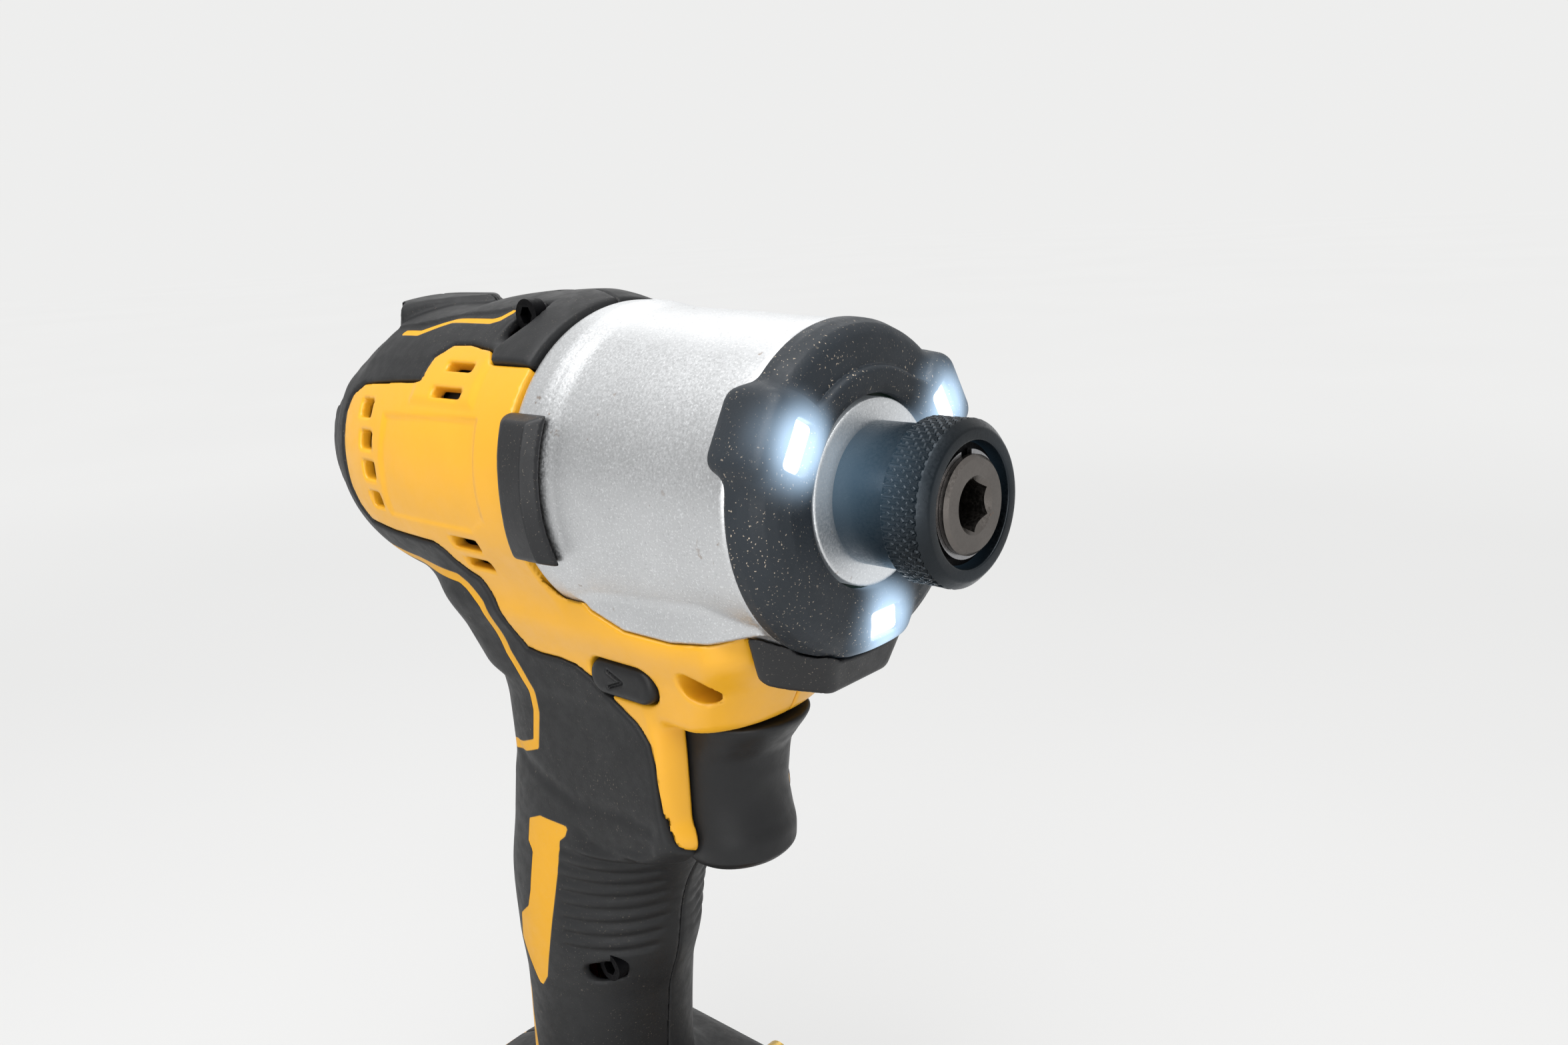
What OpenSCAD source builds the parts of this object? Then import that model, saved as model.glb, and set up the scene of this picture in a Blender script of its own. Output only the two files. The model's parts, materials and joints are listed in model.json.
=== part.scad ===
// Compact cordless impact driver with a slide-on battery pack.
// X points to the nose, Y to the tool's left, Z up. The origin lies on the flat base of the pack.

/* [Drive line] */
// Height of the drive axis above the base
drive_z = 184; // [182:1:190]
// Distance from the origin forward to the front of the sleeve
nose_x = 84; // [82:1:88]

/* [Bit collet] */
// Length of the sliding sleeve
sleeve_len = 15.8; // [15:0.1:17]
// Radius over the knurl of the sleeve
sleeve_r = 11.35; // [11:0.05:12.5]
// Length of the knurled band
knurl_len = 4.3; // [3:0.1:5]
// Radius of the plain neck of the sleeve
neck_r = 10; // [9.6:0.1:10.6]
// Radius of the recess in the front of the sleeve
recess_r = 8.5; // [8.3:0.1:9]
// Travel of the sleeve
sleeve_travel = 4; // [3:0.1:4.4]
// Wire diameter of the sleeve's spring
sleeve_wire = 0.8; // [0.6:0.05:0.9]
// Diameter of each ball that holds the bit
bit_ball_d = 3.5; // [3:0.1:3.6]

/* [Anvil] */
// Width across flats of the hex socket
hex_af = 6.35; // [6.35:0.05:6.6]
// Depth of the hex socket
hex_depth = 20; // [16:0.5:22]
// Radius of the anvil's front face
face_r = 6.7; // [6.5:0.1:7.2]
// Radius of the anvil under the sleeve
shank_r = 6; // [5.8:0.1:6.05]
// Radius of the anvil's journal
journal_r = 7.5; // [7:0.1:8]
// Radius over the anvil's wings
wing_r = 17; // [15:0.5:18]
// Thickness of the anvil's wings
wing_len = 5.5; // [5.4:0.1:7]

/* [Gear case] */
// Radius of the bare flange round the collet, as a share of the radius of the case's front
flange_share = 0.57; // [0.54:0.01:0.6]
// Radius of the case behind the nose bumper
case_front_r = 23.2; // [23:0.1:24]
// Radius of the case at its rear shoulder
case_rear_r = 26; // [25.8:0.1:27]
// Length of the anvil's bush
bush_len = 13; // [11:0.5:15]
// Wall of the anvil's bush
bush_wall = 2.4; // [1.5:0.1:3]

/* [Hammer] */
// Radius of the hammer
hammer_r = 19.6; // [19:0.1:20]
// Length of the hammer's body
hammer_len = 16; // [15:0.5:18]
// Length of the hammer's lugs
lug_len = 5; // [4.5:0.1:5.2]
// Travel of the hammer against its spring
hammer_travel = 5; // [4.8:0.1:5.6]
// Wire diameter of the hammer's spring
hammer_wire = 2; // [1.6:0.1:2.2]

/* [Gears] */
// Wall of the ring gear outside its teeth
ring_wall = 3.6; // [3.2:0.1:4]
// Width of the planet gears
gear_width = 7; // [6:0.5:9]
// Radius of the planet pins
pin_r = 2; // [1.6:0.1:2.2]

/* [Motor] */
// Length of the stator's core
stator_len = 20; // [16:1:26]
// Radius of the rotor's core, as a share of the stator's
rotor_share = 0.529; // [0.48:0.001:0.56]
// Radius of the motor shaft
shaft_r = 2.5; // [2:0.1:3]
// Length of a winding beyond the core
winding_len = 4; // [3:0.5:5]
// Depth of the fan
fan_len = 6.4; // [5:0.2:8]

/* [Housing] */
// Radius of the motor barrel
barrel_r = 26; // [25.6:0.1:27]
// Wall of the barrel
barrel_wall = 3.2; // [2.8:0.1:3.4]
// Wall of the grip and foot
wall = 2.4; // [2:0.1:2.6]
// Thickness of the soft overmould
skin = 1.6; // [1.2:0.1:2]
// Half width of the grip at its thickest
grip_half = 15.9; // [15.4:0.1:17]

/* [Trigger] */
// Width of the trigger
trigger_w = 19.6; // [18:0.2:20.4]
// Travel of the trigger
trigger_travel = 6.5; // [5:0.1:7]
// Wire diameter of the trigger's spring
trigger_wire = 0.7; // [0.5:0.05:0.8]

/* [Direction selector] */
// Length of the selector bar
selector_len = 30.4; // [30:0.2:33]
// Width of the selector's rounded end
selector_w = 14.5; // [12:0.5:15]
// Height of the selector's rounded end
selector_h = 6; // [5:0.1:6.4]
// Travel of the selector
selector_travel = 4; // [3:0.1:5]

/* [Foot and pack] */
// Half width of the foot
foot_half = 31; // [30:0.5:34]
// Height of the foot
foot_h = 16; // [16:0.5:19]
// Length of the pack
pack_len = 117; // [116:1:124]
// Width of the pack
pack_w = 76; // [74:1:84]
// Height of the pack under the foot
pack_h = 43; // [42:1:47]
// Corner radius of the pack
pack_corner = 11; // [8:0.5:13]
// Wall of the pack
pack_wall = 2.5; // [2:0.1:3]
// Room between the wall and each end of a cell
cell_end = 3; // [2:0.1:4]
// Room between the wall and the row of cells, front and rear
cell_side = 8.5; // [8:0.1:10]
// Half width of the pack's sliding block
rail_half = 22; // [20:0.5:22.5]
// Distance that the pack slides to come off
pack_travel = 80; // [70:1:90]
// Press of the pack's release button
latch_travel = 3; // [2:0.1:3.5]

/* [Fits] */
// Radial clearance of a turning fit
run_fit = 0.05; // [0.03:0.01:0.08]
// Clearance of a sliding piece
slide_fit = 0.3; // [0.25:0.05:0.35]
// Gap between pieces that seat on each other
seat_fit = 0.1; // [0.05:0.01:0.15]

/* [Hidden] */
$fn = 64;
SHELL_FN = 48;

// Stations of the collet and anvil along X, from the nose back
face_x = nose_x + 0.24;
sleeve_chamfer = 2.4;
knurl_rear_x = nose_x - sleeve_chamfer - knurl_len;
sleeve_rear_x = nose_x - sleeve_len;
ring_t = 0.7;
ring_x = nose_x - 1.75;
washer_t = 0.7;
washer_x = ring_x - seat_fit - washer_t;
sleeve_spring_len = 7;
land_x = washer_x - sleeve_spring_len;
land_len = 1.4;
bit_ball_r = bit_ball_d / 2;
bit_ball_x = land_x - land_len;
bit_ball_reach = 0.15;
bit_ball_at = shank_r + bit_ball_reach - bit_ball_r;
bit_ball_travel = 1;
land_r = shank_r + bit_ball_reach + seat_fit;
relief_r = recess_r + 0.3;

// Stations of the gear case, hammer and gears
flange_r = flange_share * case_front_r;
barrel_ir = barrel_r - barrel_wall;
// The case's rear shoulder covers the rim of the barrel
shoulder_r = max(case_rear_r, barrel_r);
flange_x = sleeve_rear_x - slide_fit;
lip_t = 1;
hub_len = 3.4;
front_wall_x = flange_x - hub_len;
bush_or = journal_r + run_fit + bush_wall;
case_mouth_x = flange_x - lip_t - bush_len;
thrust_t = 0.8;
wing_x = case_mouth_x - thrust_t - 3 * seat_fit;
anvil_rear_x = wing_x - wing_len;
hammer_x = anvil_rear_x - 0.4;
hammer_rear_x = hammer_x - hammer_len;
hammer_recess_x = hammer_x - 4;
hammer_hub_x = hammer_rear_x + 3.4;
cam_r = 7;
cam_ball_r = 2;
cam_ball_x = hammer_hub_x + 4;
hammer_hub_r = cam_r + 2.8;
carrier_x = hammer_rear_x - hammer_travel + 1;
carrier_t = 3;
gear_gap = 0.3;
gear_x = carrier_x - carrier_t - gear_gap;
gear_rear_x = gear_x - gear_width;
SUN_TEETH = 12;
PLANET_TEETH = 15;
RING_TEETH = SUN_TEETH + 2 * PLANET_TEETH;
PLANETS = 3;
pressure_angle = 25;
backlash = 0.12;
spigot_wall = 1.48;
ring_or = barrel_ir - spigot_wall;
root_depth = 1.15;
gear_module = (ring_or - ring_wall) / (RING_TEETH / 2 + root_depth);
planet_orbit = gear_module * (SUN_TEETH + PLANET_TEETH) / 2;
carrier_r = planet_orbit + pin_r + 2.4;
carrier_rear_t = 2.2;
carrier_rear_x = gear_rear_x - gear_gap - carrier_rear_t;
ring_rear_x = gear_rear_x - 2 * gear_gap;
sun_bore_r = gear_module * (SUN_TEETH / 2 + 0.9) + 0.5;
spindle_journal_r = sun_bore_r + 1.5;
big_bearing_w = 5;
big_bearing_r = spindle_journal_r + 4.5;
plate_x = carrier_rear_x - 0.4;
big_bearing_x = plate_x - seat_fit;
plate_rear_x = big_bearing_x - big_bearing_w - 0.8;
case_rear_x = gear_x - 5.4;
spigot_x = case_rear_x - 6;
case_cavity_r = hammer_r + 0.6;

// Stations of the motor
bearing_r = 6.5;
bearing_w = 4;
front_bearing_x = plate_rear_x - 0.8;
plate_hub_x = front_bearing_x - bearing_w - 0.4;
stator_x = plate_rear_x - winding_len - 3;
stator_rear_x = stator_x - stator_len;
stator_r = barrel_ir - slide_fit;
yoke_t = 0.2045 * stator_r;
rotor_r = rotor_share * stator_r;
stator_bore_r = rotor_r + 0.5;
SLOTS = 6;
tooth_w = 0.222 * stator_r;
winding_half = tooth_w / 2 + 2.2;
winding_or = sqrt(pow(stator_r - yoke_t - 0.2, 2) - pow(winding_half, 2));
fan_x = stator_rear_x - winding_len - 1.2;
fan_rear_x = fan_x - fan_len;
fan_r = barrel_ir - 4.3;
rear_bearing_x = fan_rear_x - 1.4;
barrel_floor_x = rear_bearing_x - bearing_w - 3.2;
tail_x = barrel_floor_x - 1.4 - skin;

// Heights and places of the grip, switch and foot
foot_z = pack_h;
foot_top_z = foot_z + foot_h;
foot_front_x = 39;
foot_rear_x = -38;
trigger_x = 33.5;
selector_drop = shoulder_r + 4.8;
trigger_top = selector_drop + 7.2;
trigger_bottom = trigger_top + 27;
switch_x = trigger_x - trigger_travel - 0.6;
switch_len = 22;
switch_top = trigger_top + 0.6;
switch_bottom = trigger_top + 20;
switch_half = grip_half - skin - wall - 1.4;
stem_r = 3;
stem_at = trigger_top + 9;
trigger_spring_r = 4.4;
selector_x = 29.6;
selector_rest = -(selector_len + selector_travel) / 2;

// Screws on the right side of the housing, as X and Z
screw_r = 1.5;
screw_head_r = 2.6;
screw_len = 18;
screw_head_y = -9;
TOP_SCREW = [8.5, drive_z + barrel_ir + screw_r + 0.27];
SCREWS = [[47.1, below(29.2)], [12.4, below(90.6)], TOP_SCREW, [foot_rear_x + 4, foot_z + 5.5]];
top_boss_r = 3.6;
top_boss_half = 12.4;

// Foot, rails and pack
rail_fit = slide_fit;
block_h = 9.2;
neck_h = 3.3;
neck_half = rail_half - 4;
cavity_top_z = foot_z + block_h + rail_fit;
cavity_rear_x = -30.3;
terminal_len = 10;
block_rear_x = cavity_rear_x + slide_fit + terminal_len + slide_fit;
block_front_x = foot_front_x - 3;
blade_len = 12;
BLADES = [-9, -3, 3, 9];
controller_h = 4;
pack_split_z = 26;
CELLS = 5;
cell_pitch = (pack_len - 2 * (pack_wall + cell_side)) / CELLS;
cell_r = cell_pitch / 2 - 0.4;
cell_len = pack_w - 2 * (pack_wall + cell_end);
cell_z = pack_wall + 0.9 + cell_r;
holder_t = 5;
latch_x = foot_front_x + 3;
latch_len = 13;
pack_nose = 17;
pack_x = latch_x + latch_len + pack_nose - pack_len;
cell_x = pack_x + pack_len / 2 - (CELLS - 1) / 2 * cell_pitch;
latch_half = 13;
latch_h = 9.5;
latch_top_z = pack_h + latch_travel + 0.5;
latch_floor_z = latch_top_z - latch_h - latch_travel - 3.5;
insert_x = 12;
insert_z = foot_z + 6.5;
insert_len = 7;
insert_r = 3.2;
insert_bore_r = 1.65;
lamp_x = nose_x - 15.8;
lamp_depth = 0.4 * (case_front_r - flange_r);
lamp_in_r = (flange_r + case_front_r - lamp_depth) / 2 + 0.5;
lamp_half = 3.42;
board_t = 1.2;
LAMP_ANGLES = [0, 120, 240];
bumper_x = nose_x - 22.6;
pod_x = nose_x - 25.6;
bumper_r = case_front_r + 0.8;
pod_r = bumper_r + 1.1;
keel_half = 19.3;
keel_x = front_wall_x - 4.4;
keel_rear_x = case_rear_x + 6;
// Side outline of the case's keel: X and height
KEEL = [[keel_rear_x, below(8)], [keel_rear_x, below(17)], [keel_rear_x + 10, below(21)],
    [keel_rear_x + 20, below(21)], [keel_rear_x + 28, below(19.8)], [keel_x, below(17.6)],
    [keel_x, below(8)]];

// Rows of the saddle under the gear case: height, rear X, front X, half width, length of the rear end
// and of the front end
function below(drop) = drive_z - drop;
SADDLE_ROWS = [[below(8), -27, 58, keel_half - 0.1, 19, 6], [below(22), -26, 58, keel_half - 0.1, 18, 8],
    [below(30.1), -22, 55, grip_half + 0.45, 16, 12], [below(37.65), -17, 51, grip_half - 1.15, 14, 15]];
// Rows of the grip and foot from top to bottom, in the same order
GRIP_ROWS = [[below(20), -29, 36, grip_half + 0.6, 24, 8], [below(28), -23.5, 37, grip_half + 0.1, 24, 8],
    [below(36), -18, 37.5, grip_half - 0.5, 24, 6.5], [below(44), -15.8, 37.5, grip_half - 0.8, 24, 6.5],
    [below(54), -15.6, 38.5, grip_half - 0.8, 24, 7], [below(59), -16.2, 42, grip_half - 0.7, 22, 10],
    [below(62.5), -16.7, 39, grip_half - 0.5, 22, 12], [below(67), -17.4, 28, grip_half - 0.3, 22, 18],
    [below(79), -19.2, 20.8, grip_half, 20, 20], [below(90), -19.3, 18.3, grip_half - 0.4, 18.8, 18.8],
    [below(100), -17.8, 14.8, grip_half - 0.9, 16.2, 16.2],
    [foot_top_z + 3, -18.6, 12.4, grip_half - 0.8, 15.5, 15.5],
    [foot_top_z, -21, 17, grip_half + 1.4, 18, 18], [foot_top_z - 4, -30, 30, foot_half - 6, 22, 22],
    [foot_top_z - 9, foot_rear_x + 1, foot_front_x - 1, foot_half - 1, 16, 16],
    [foot_z, foot_rear_x, foot_front_x, foot_half, 14, 14]];
// Side outline of the soft grip: X and height
GRIP_ZONE = [[-80, below(8)], [-29, below(9)], [-20, below(13)], [-6.6, below(19.6)], [3.5, below(29.8)],
    [6, below(30.9)], [14, below(30.4)], [19, below(31.9)], [30.7, below(38)], [33.2, below(41.2)],
    [33.6, below(46.7)], [34.5, below(53.3)], [36, below(57.5)], [39, below(60.5)], [60, below(62)],
    [60, foot_z + 9], [-80, foot_z + 9]];
// Route of the motor leads, as X and Z
lead_x = stator_rear_x - 1.6;
LEAD_ROUTE = [[lead_x, below(winding_or + 0.6)], [lead_x, below(stator_r - 0.5)],
    [lead_x + 3.8, below(stator_r + 6.5)], [-9, below(37)], [-7, below(46)], [-7.5, below(60)],
    [-9.5, below(80)], [-8, below(96)], [-6, foot_top_z - 0.4]];
lead_r = 0.9;

// Outline with elliptical round ends, as points
function round_end(x, y, e, dir, steps = 10) =
    [for (i = [0:steps]) let (t = -90 + 180 * i / steps) [x + dir * e * cos(t), dir * y * sin(t)]];
function oval(rear, front, half, rear_end, front_end) =
    concat(round_end(front - front_end, half, front_end, 1), round_end(rear + rear_end, half, rear_end, -1));

// A smooth body through a list of rows from top to bottom, drawn in by an inset
module loft(rows, inset = 0) {
    rings = [for (row = rows)
        let (plan = oval(row[1] + inset, row[2] - inset, row[3] - inset, row[4] - inset, row[5] - inset))
        [for (q = plan) [q[0], q[1], row[0]]]];
    sides = len(rings[0]);
    last = len(rings) - 1;
    walls = [for (i = [0:last - 1], j = [0:sides - 1])
        let (a = i * sides + j, b = i * sides + (j + 1) % sides)
        each [[a, b, b + sides], [a, b + sides, a + sides]]];
    top = [for (j = [0:sides - 1]) sides - 1 - j];
    bottom = [for (j = [0:sides - 1]) last * sides + j];
    polyhedron([for (ring = rings) each ring], concat(walls, [top, bottom]));
}

// Bodies of revolution about the drive axis, from points of radius and X
module turned(points, start = 0, sweep = 360) {
    translate([0, 0, drive_z])
        rotate([0, 90, 0])
            rotate_extrude(angle = sweep, start = start)
                polygon(points);
}
// The same on one side, between two angles above the horizontal; side is 1 on the left and -1 on the right
module turned_side(points, side, low, high) {
    turned(points, side > 0 ? 90 + low : 270 - high, high - low);
}
// A rod along X between two stations, moved off the axis by y and z
module rod(front, rear, r, y = 0, z = 0) {
    translate([rear, y, drive_z + z])
        rotate([0, 90, 0])
            cylinder(h = front - rear, r = r);
}
// A tube along X
module tube(front, rear, outer, inner) {
    turned([[inner, rear], [outer, rear], [outer, front], [inner, front]]);
}
// A box from its lowest to its highest corner
module block(low, high) {
    translate(low)
        cube(high - low);
}
// A rod along Y between two stations
module cross_rod(x, z, low, high, r) {
    translate([x, low, z])
        rotate([-90, 0, 0])
            cylinder(h = high - low, r = r);
}

// Involute gear outline with a tooth on the X axis; thin narrows each tooth at the pitch circle
function involute(a) = tan(a) - a * PI / 180;
function flank(teeth, r, base, thin) =
    let (pitch_r = gear_module * teeth / 2)
    90 / teeth - thin / pitch_r * 90 / PI
        + (involute(pressure_angle) - involute(acos(min(1, base / r)))) * 180 / PI;
function gear_points(teeth, tip, root, thin) =
    let (base = gear_module * teeth / 2 * cos(pressure_angle), low = max(root, base), steps = 4)
    [for (i = [0:teeth - 1], j = [0:2 * steps + 3])
        let (side = j <= steps + 1 ? -1 : 1, k = j <= steps + 1 ? j : 2 * steps + 3 - j,
            r = k == 0 ? root : low + (tip - low) * (k - 1) / steps,
            a = 360 * i / teeth + side * flank(teeth, max(r, low), base, thin))
        r * [cos(a), sin(a)]];
module gear(teeth, front, rear, turn) {
    pitch_r = gear_module * teeth / 2;
    translate([rear, 0, drive_z])
        rotate([0, 90, 0])
            rotate([0, 0, turn])
                linear_extrude(front - rear)
                    polygon(gear_points(teeth, pitch_r + 0.9 * gear_module,
                        pitch_r - root_depth * gear_module, backlash));
}

// Tube swept along a list of points
function unit(v) = v / norm(v);
module sweep(path, r, sides) {
    last = len(path) - 1;
    points = [for (i = [0:last])
        let (t = unit(path[min(i + 1, last)] - path[max(i - 1, 0)]),
            u = unit(cross(t, abs(t[1]) > 0.9 ? [1, 0, 0] : [0, 1, 0])), v = cross(t, u))
        for (j = [0:sides - 1]) path[i] + r * (cos(360 * j / sides) * u + sin(360 * j / sides) * v)];
    skin_faces = [for (i = [0:last - 1], j = [0:sides - 1])
        let (a = i * sides + j, b = i * sides + (j + 1) % sides)
        each [[a, b, b + sides], [a, b + sides, a + sides]]];
    far = last * sides;
    end_faces = [for (j = [1:sides - 2]) each [[0, j + 1, j], [far, far + j, far + j + 1]]];
    polyhedron(points, concat(skin_faces, end_faces));
}
// Helical spring between two stations on an axis; the ends lie flat for a short turn
function coil_rise(s, turns) = let (dead = 0.12 / turns) max(0, min(1, (s - dead) / (1 - 2 * dead)));
function coil(turns, r, length) =
    [for (i = [0:8 * turns]) let (s = i / (8 * turns), a = 360 * turns * s)
        [r * cos(a), r * sin(a), length * coil_rise(s, turns)]];
module spring(turns, r, wire, length) {
    echo(spring_gap = (length - wire) / turns - wire);
    translate([0, 0, wire / 2])
        sweep(coil(turns, r, length - wire), wire / 2, 6);
}
module spring_on_axis(front, rear, turns, r, wire) {
    translate([rear, 0, drive_z])
        rotate([0, 90, 0])
            spring(turns, r, wire, front - rear);
}

// Housing shells

module barrel_solid(inset) {
    r = barrel_r - inset;
    turned([[0, tail_x + inset], [r - 12, tail_x + inset], [r - 8.5, tail_x + 1 + inset],
        [r - 5, tail_x + 4.5], [r - 2.8, tail_x + 9], [r - 1.4, tail_x + 15],
        [r - 0.5, tail_x + 23], [r, tail_x + 35], [r, case_rear_x + 0.5],
        [0, case_rear_x + 0.5]], $fn = SHELL_FN);
}
module body_solid(inset) {
    barrel_solid(inset);
    loft(SADDLE_ROWS, inset);
    loft(GRIP_ROWS, inset);
}
// Region that the soft overmould covers: grip, tail and top of the barrel; shy holds it back at its edges
module grip_zone(shy = 0) {
    band_x = case_rear_x - 12 + shy;
    translate([0, foot_half + 20, 0])
        rotate([90, 0, 0])
            linear_extrude(2 * foot_half + 40)
                offset(delta = -shy)
                    polygon(GRIP_ZONE);
    block([tail_x - 20, -60, below(60)], [tail_x + 7 - shy, 60, drive_z + 60]);
    for (side = [-1, 1]) {
        turned_side([[10, tail_x], [60, tail_x], [60, case_rear_x], [10, case_rear_x]],
            side, 50 + 3 * shy, 91, $fn = SHELL_FN);
        turned_side([[10, band_x], [60, band_x], [60, case_rear_x], [10, case_rear_x]],
            side, 43 + 3 * shy, 91, $fn = SHELL_FN);
    }
}
// Raised bands on the top of the barrel and the bump on its tail
module swells() {
    for (side = [-1, 1]) {
        turned_side([[20, tail_x + 12], [barrel_r + 0.6, tail_x + 15], [barrel_r + 1.2, tail_x + 20],
            [barrel_r + 1.2, case_rear_x - 0.4], [20, case_rear_x - 0.4]], side, 40, 91, $fn = SHELL_FN);
        turned_side([[20, case_rear_x - 13], [barrel_r + 2.2, case_rear_x - 9],
            [barrel_r + 2.3, case_rear_x - 1.4], [barrel_r + 1.6, case_rear_x - 0.4],
            [20, case_rear_x - 0.4]], side, 40, 91, $fn = SHELL_FN);
        turned_side([[20, tail_x + 13], [barrel_r + 1.9, tail_x + 16], [barrel_r + 2.3, tail_x + 33],
            [20, tail_x + 38]], side, 60, 91, $fn = SHELL_FN);
        turned_side([[8, tail_x + 2], [8, tail_x - 1.6], [17.6, tail_x - 1.6], [19.4, tail_x],
            [20.4, tail_x + 3.6], [17, tail_x + 3.6]], side, -34, 26, $fn = SHELL_FN);
    }
}
// Room for the gear case, motor and bearings in the barrel, and for the case's keel
module drive_room() {
    difference() {
        turned([[0, barrel_floor_x], [barrel_r - 13, barrel_floor_x], [barrel_r - 8.8, barrel_floor_x + 4],
            [barrel_ir - 2.4, barrel_floor_x + 11], [barrel_ir, stator_rear_x - 1],
            [barrel_ir, case_rear_x - seat_fit], [shoulder_r + seat_fit, case_rear_x - seat_fit],
            [shoulder_r + seat_fit, nose_x], [0, nose_x]], $fn = SHELL_FN);
        bearing_seat();
    }
    keel(seat_fit);
    block([nose_x - 28 - seat_fit, -60, below(60)], [nose_x, 60, drive_z]);
}
module keel(extra) {
    translate([0, keel_half + extra, 0])
        rotate([90, 0, 0])
            linear_extrude(2 * (keel_half + extra))
                offset(delta = extra)
                    polygon(KEEL);
}
module selector_outline(extra) {
    e = selector_h / 2 + extra;
    translate([selector_x, 0, below(selector_drop)])
        rotate([90, 0, 0])
            hull()
                for (s = [-1, 1])
                    translate([s * (selector_w - selector_h) / 2, 0, 0])
                        cylinder(h = 80, r = e, center = true, $fn = 24);
}
module grip_room() {
    intersection() {
        loft(GRIP_ROWS, skin + wall);
        block([-80, -60, foot_top_z - 4], [30, 60, below(barrel_ir - 1.8)]);
    }
    intersection() {
        loft(GRIP_ROWS, skin + wall);
        block([-80, -60, cavity_top_z + 1.3], [80, 60, foot_top_z + 8]);
    }
    intersection() {
        loft(SADDLE_ROWS, wall);
        block([-30, -60, below(35.4)], [nose_x - 31, 60, below(23)]);
    }
}
module trigger_room() {
    half = trigger_w / 2 + slide_fit;
    block([switch_x - 0.4, -half, below(trigger_bottom + 0.8)], [80, half, below(trigger_top - slide_fit)]);
}
module rail_room() {
    top_half = rail_half + rail_fit;
    block([cavity_rear_x, -top_half, foot_z + neck_h - rail_fit], [80, top_half, cavity_top_z]);
    block([cavity_rear_x, -neck_half - rail_fit, foot_z - 1], [80, neck_half + rail_fit, cavity_top_z - 1]);
}
// Rounded slot through one side of the barrel, at an angle above the horizontal
module vent(x, angle, side, length, r) {
    translate([x, 0, drive_z])
        rotate([-side * (90 - angle), 0, 0])
            hull()
                for (s = [-1, 1])
                    translate([s * (length / 2 - r), 0, barrel_ir - 3])
                        cylinder(h = barrel_wall + 8, r = r, $fn = 12);
}
module vents() {
    for (side = [-1, 1]) {
        for (a = [42, 31, -23, -32])
            vent(nose_x - 82, a, side, 8, 0.9);
        for (a = [22, 11, -1, -12])
            vent(nose_x - 106, a, side, 3.4, 1.5);
    }
}
module screw_holes(side) {
    for (p = SCREWS) {
        cross_rod(p[0], p[1], -60, screw_head_y + screw_len + 0.5, screw_r + seat_fit, $fn = 16);
        if (side < 0)
            cross_rod(p[0], p[1], -60, screw_head_y, screw_head_r + 0.4, $fn = 24);
    }
    for (s = [-1, 1])
        cross_rod(insert_x, insert_z, s > 0 ? foot_half - insert_len - 0.4 : -foot_half - 20,
            s > 0 ? foot_half + 20 : -foot_half + insert_len + 0.4, insert_r + seat_fit, $fn = 24);
}
module bearing_seat() {
    tube(rear_bearing_x - 0.3, barrel_floor_x - 0.2, bearing_r + 2.6, bearing_r + seat_fit, $fn = 32);
    tube(rear_bearing_x - bearing_w - 0.4, barrel_floor_x - 0.2, bearing_r + 1, 4, $fn = 32);
}
module half_space(side) {
    block([-120, side > 0 ? 0 : -80, -20], [120, side > 0 ? 80 : 0, drive_z + 80]);
}
module housing_half(side) {
    color([0.96, 0.71, 0.09])
        intersection() {
            half_space(side);
            difference() {
                union() {
                    difference() {
                        body_solid(0);
                        grip_zone();
                    }
                    body_solid(skin);
                    cross_rod(TOP_SCREW[0], TOP_SCREW[1], -top_boss_half, top_boss_half, top_boss_r,
                        $fn = 32);
                }
                drive_room();
                difference() {
                    grip_room();
                    for (p = SCREWS)
                        cross_rod(p[0], p[1], -40, 40, screw_head_r + 1.6, $fn = 24);
                }
                trigger_room();
                selector_outline(slide_fit);
                rail_room();
                vents();
                screw_holes(side);
            }
        }
}
module housing_right() { housing_half(-1); }
module housing_left() { housing_half(1); }

module overmould(side) {
    film = seat_fit / 2;
    color([0.13, 0.14, 0.15])
        intersection() {
            half_space(side);
            difference() {
                intersection() {
                    union() {
                        body_solid(0);
                        swells();
                    }
                    grip_zone(film);
                }
                body_solid(skin - film);
                cross_rod(TOP_SCREW[0], TOP_SCREW[1], -top_boss_half - film, top_boss_half + film,
                    top_boss_r + film, $fn = 32);
                drive_room();
                trigger_room();
                selector_outline(slide_fit);
                rail_room();
                vents();
                screw_holes(side);
            }
        }
}
module overmould_right() { overmould(-1); }
module overmould_left() { overmould(1); }

// Nose and gear case

module gear_case() {
    color([0.72, 0.73, 0.74])
        difference() {
            union() {
                turned([[0, flange_x], [flange_r, flange_x], [flange_r, front_wall_x],
                    [case_front_r - 2.7, front_wall_x], [case_front_r, front_wall_x - 2.7],
                    [case_rear_r - 1.2, case_rear_x + 10.5],
                    [shoulder_r, case_rear_x + 6], [shoulder_r, case_rear_x],
                    [barrel_ir - seat_fit, case_rear_x], [barrel_ir - seat_fit, spigot_x], [0, spigot_x]]);
                keel(0);
            }
            turned([[0, flange_x + 1], [journal_r + 0.7, flange_x + 1], [journal_r + 0.7, flange_x - lip_t],
                [bush_or + seat_fit / 2, flange_x - lip_t], [bush_or + seat_fit / 2, case_mouth_x],
                [case_cavity_r, case_mouth_x], [case_cavity_r, gear_x + 0.2],
                [ring_or + seat_fit / 2, gear_x + 0.2], [ring_or + seat_fit / 2, spigot_x - 1],
                [0, spigot_x - 1]]);
        }
}
module lamp_frame() {
    for (a = LAMP_ANGLES)
        translate([0, 0, drive_z])
            rotate([a, 0, 0])
                children();
}
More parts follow.
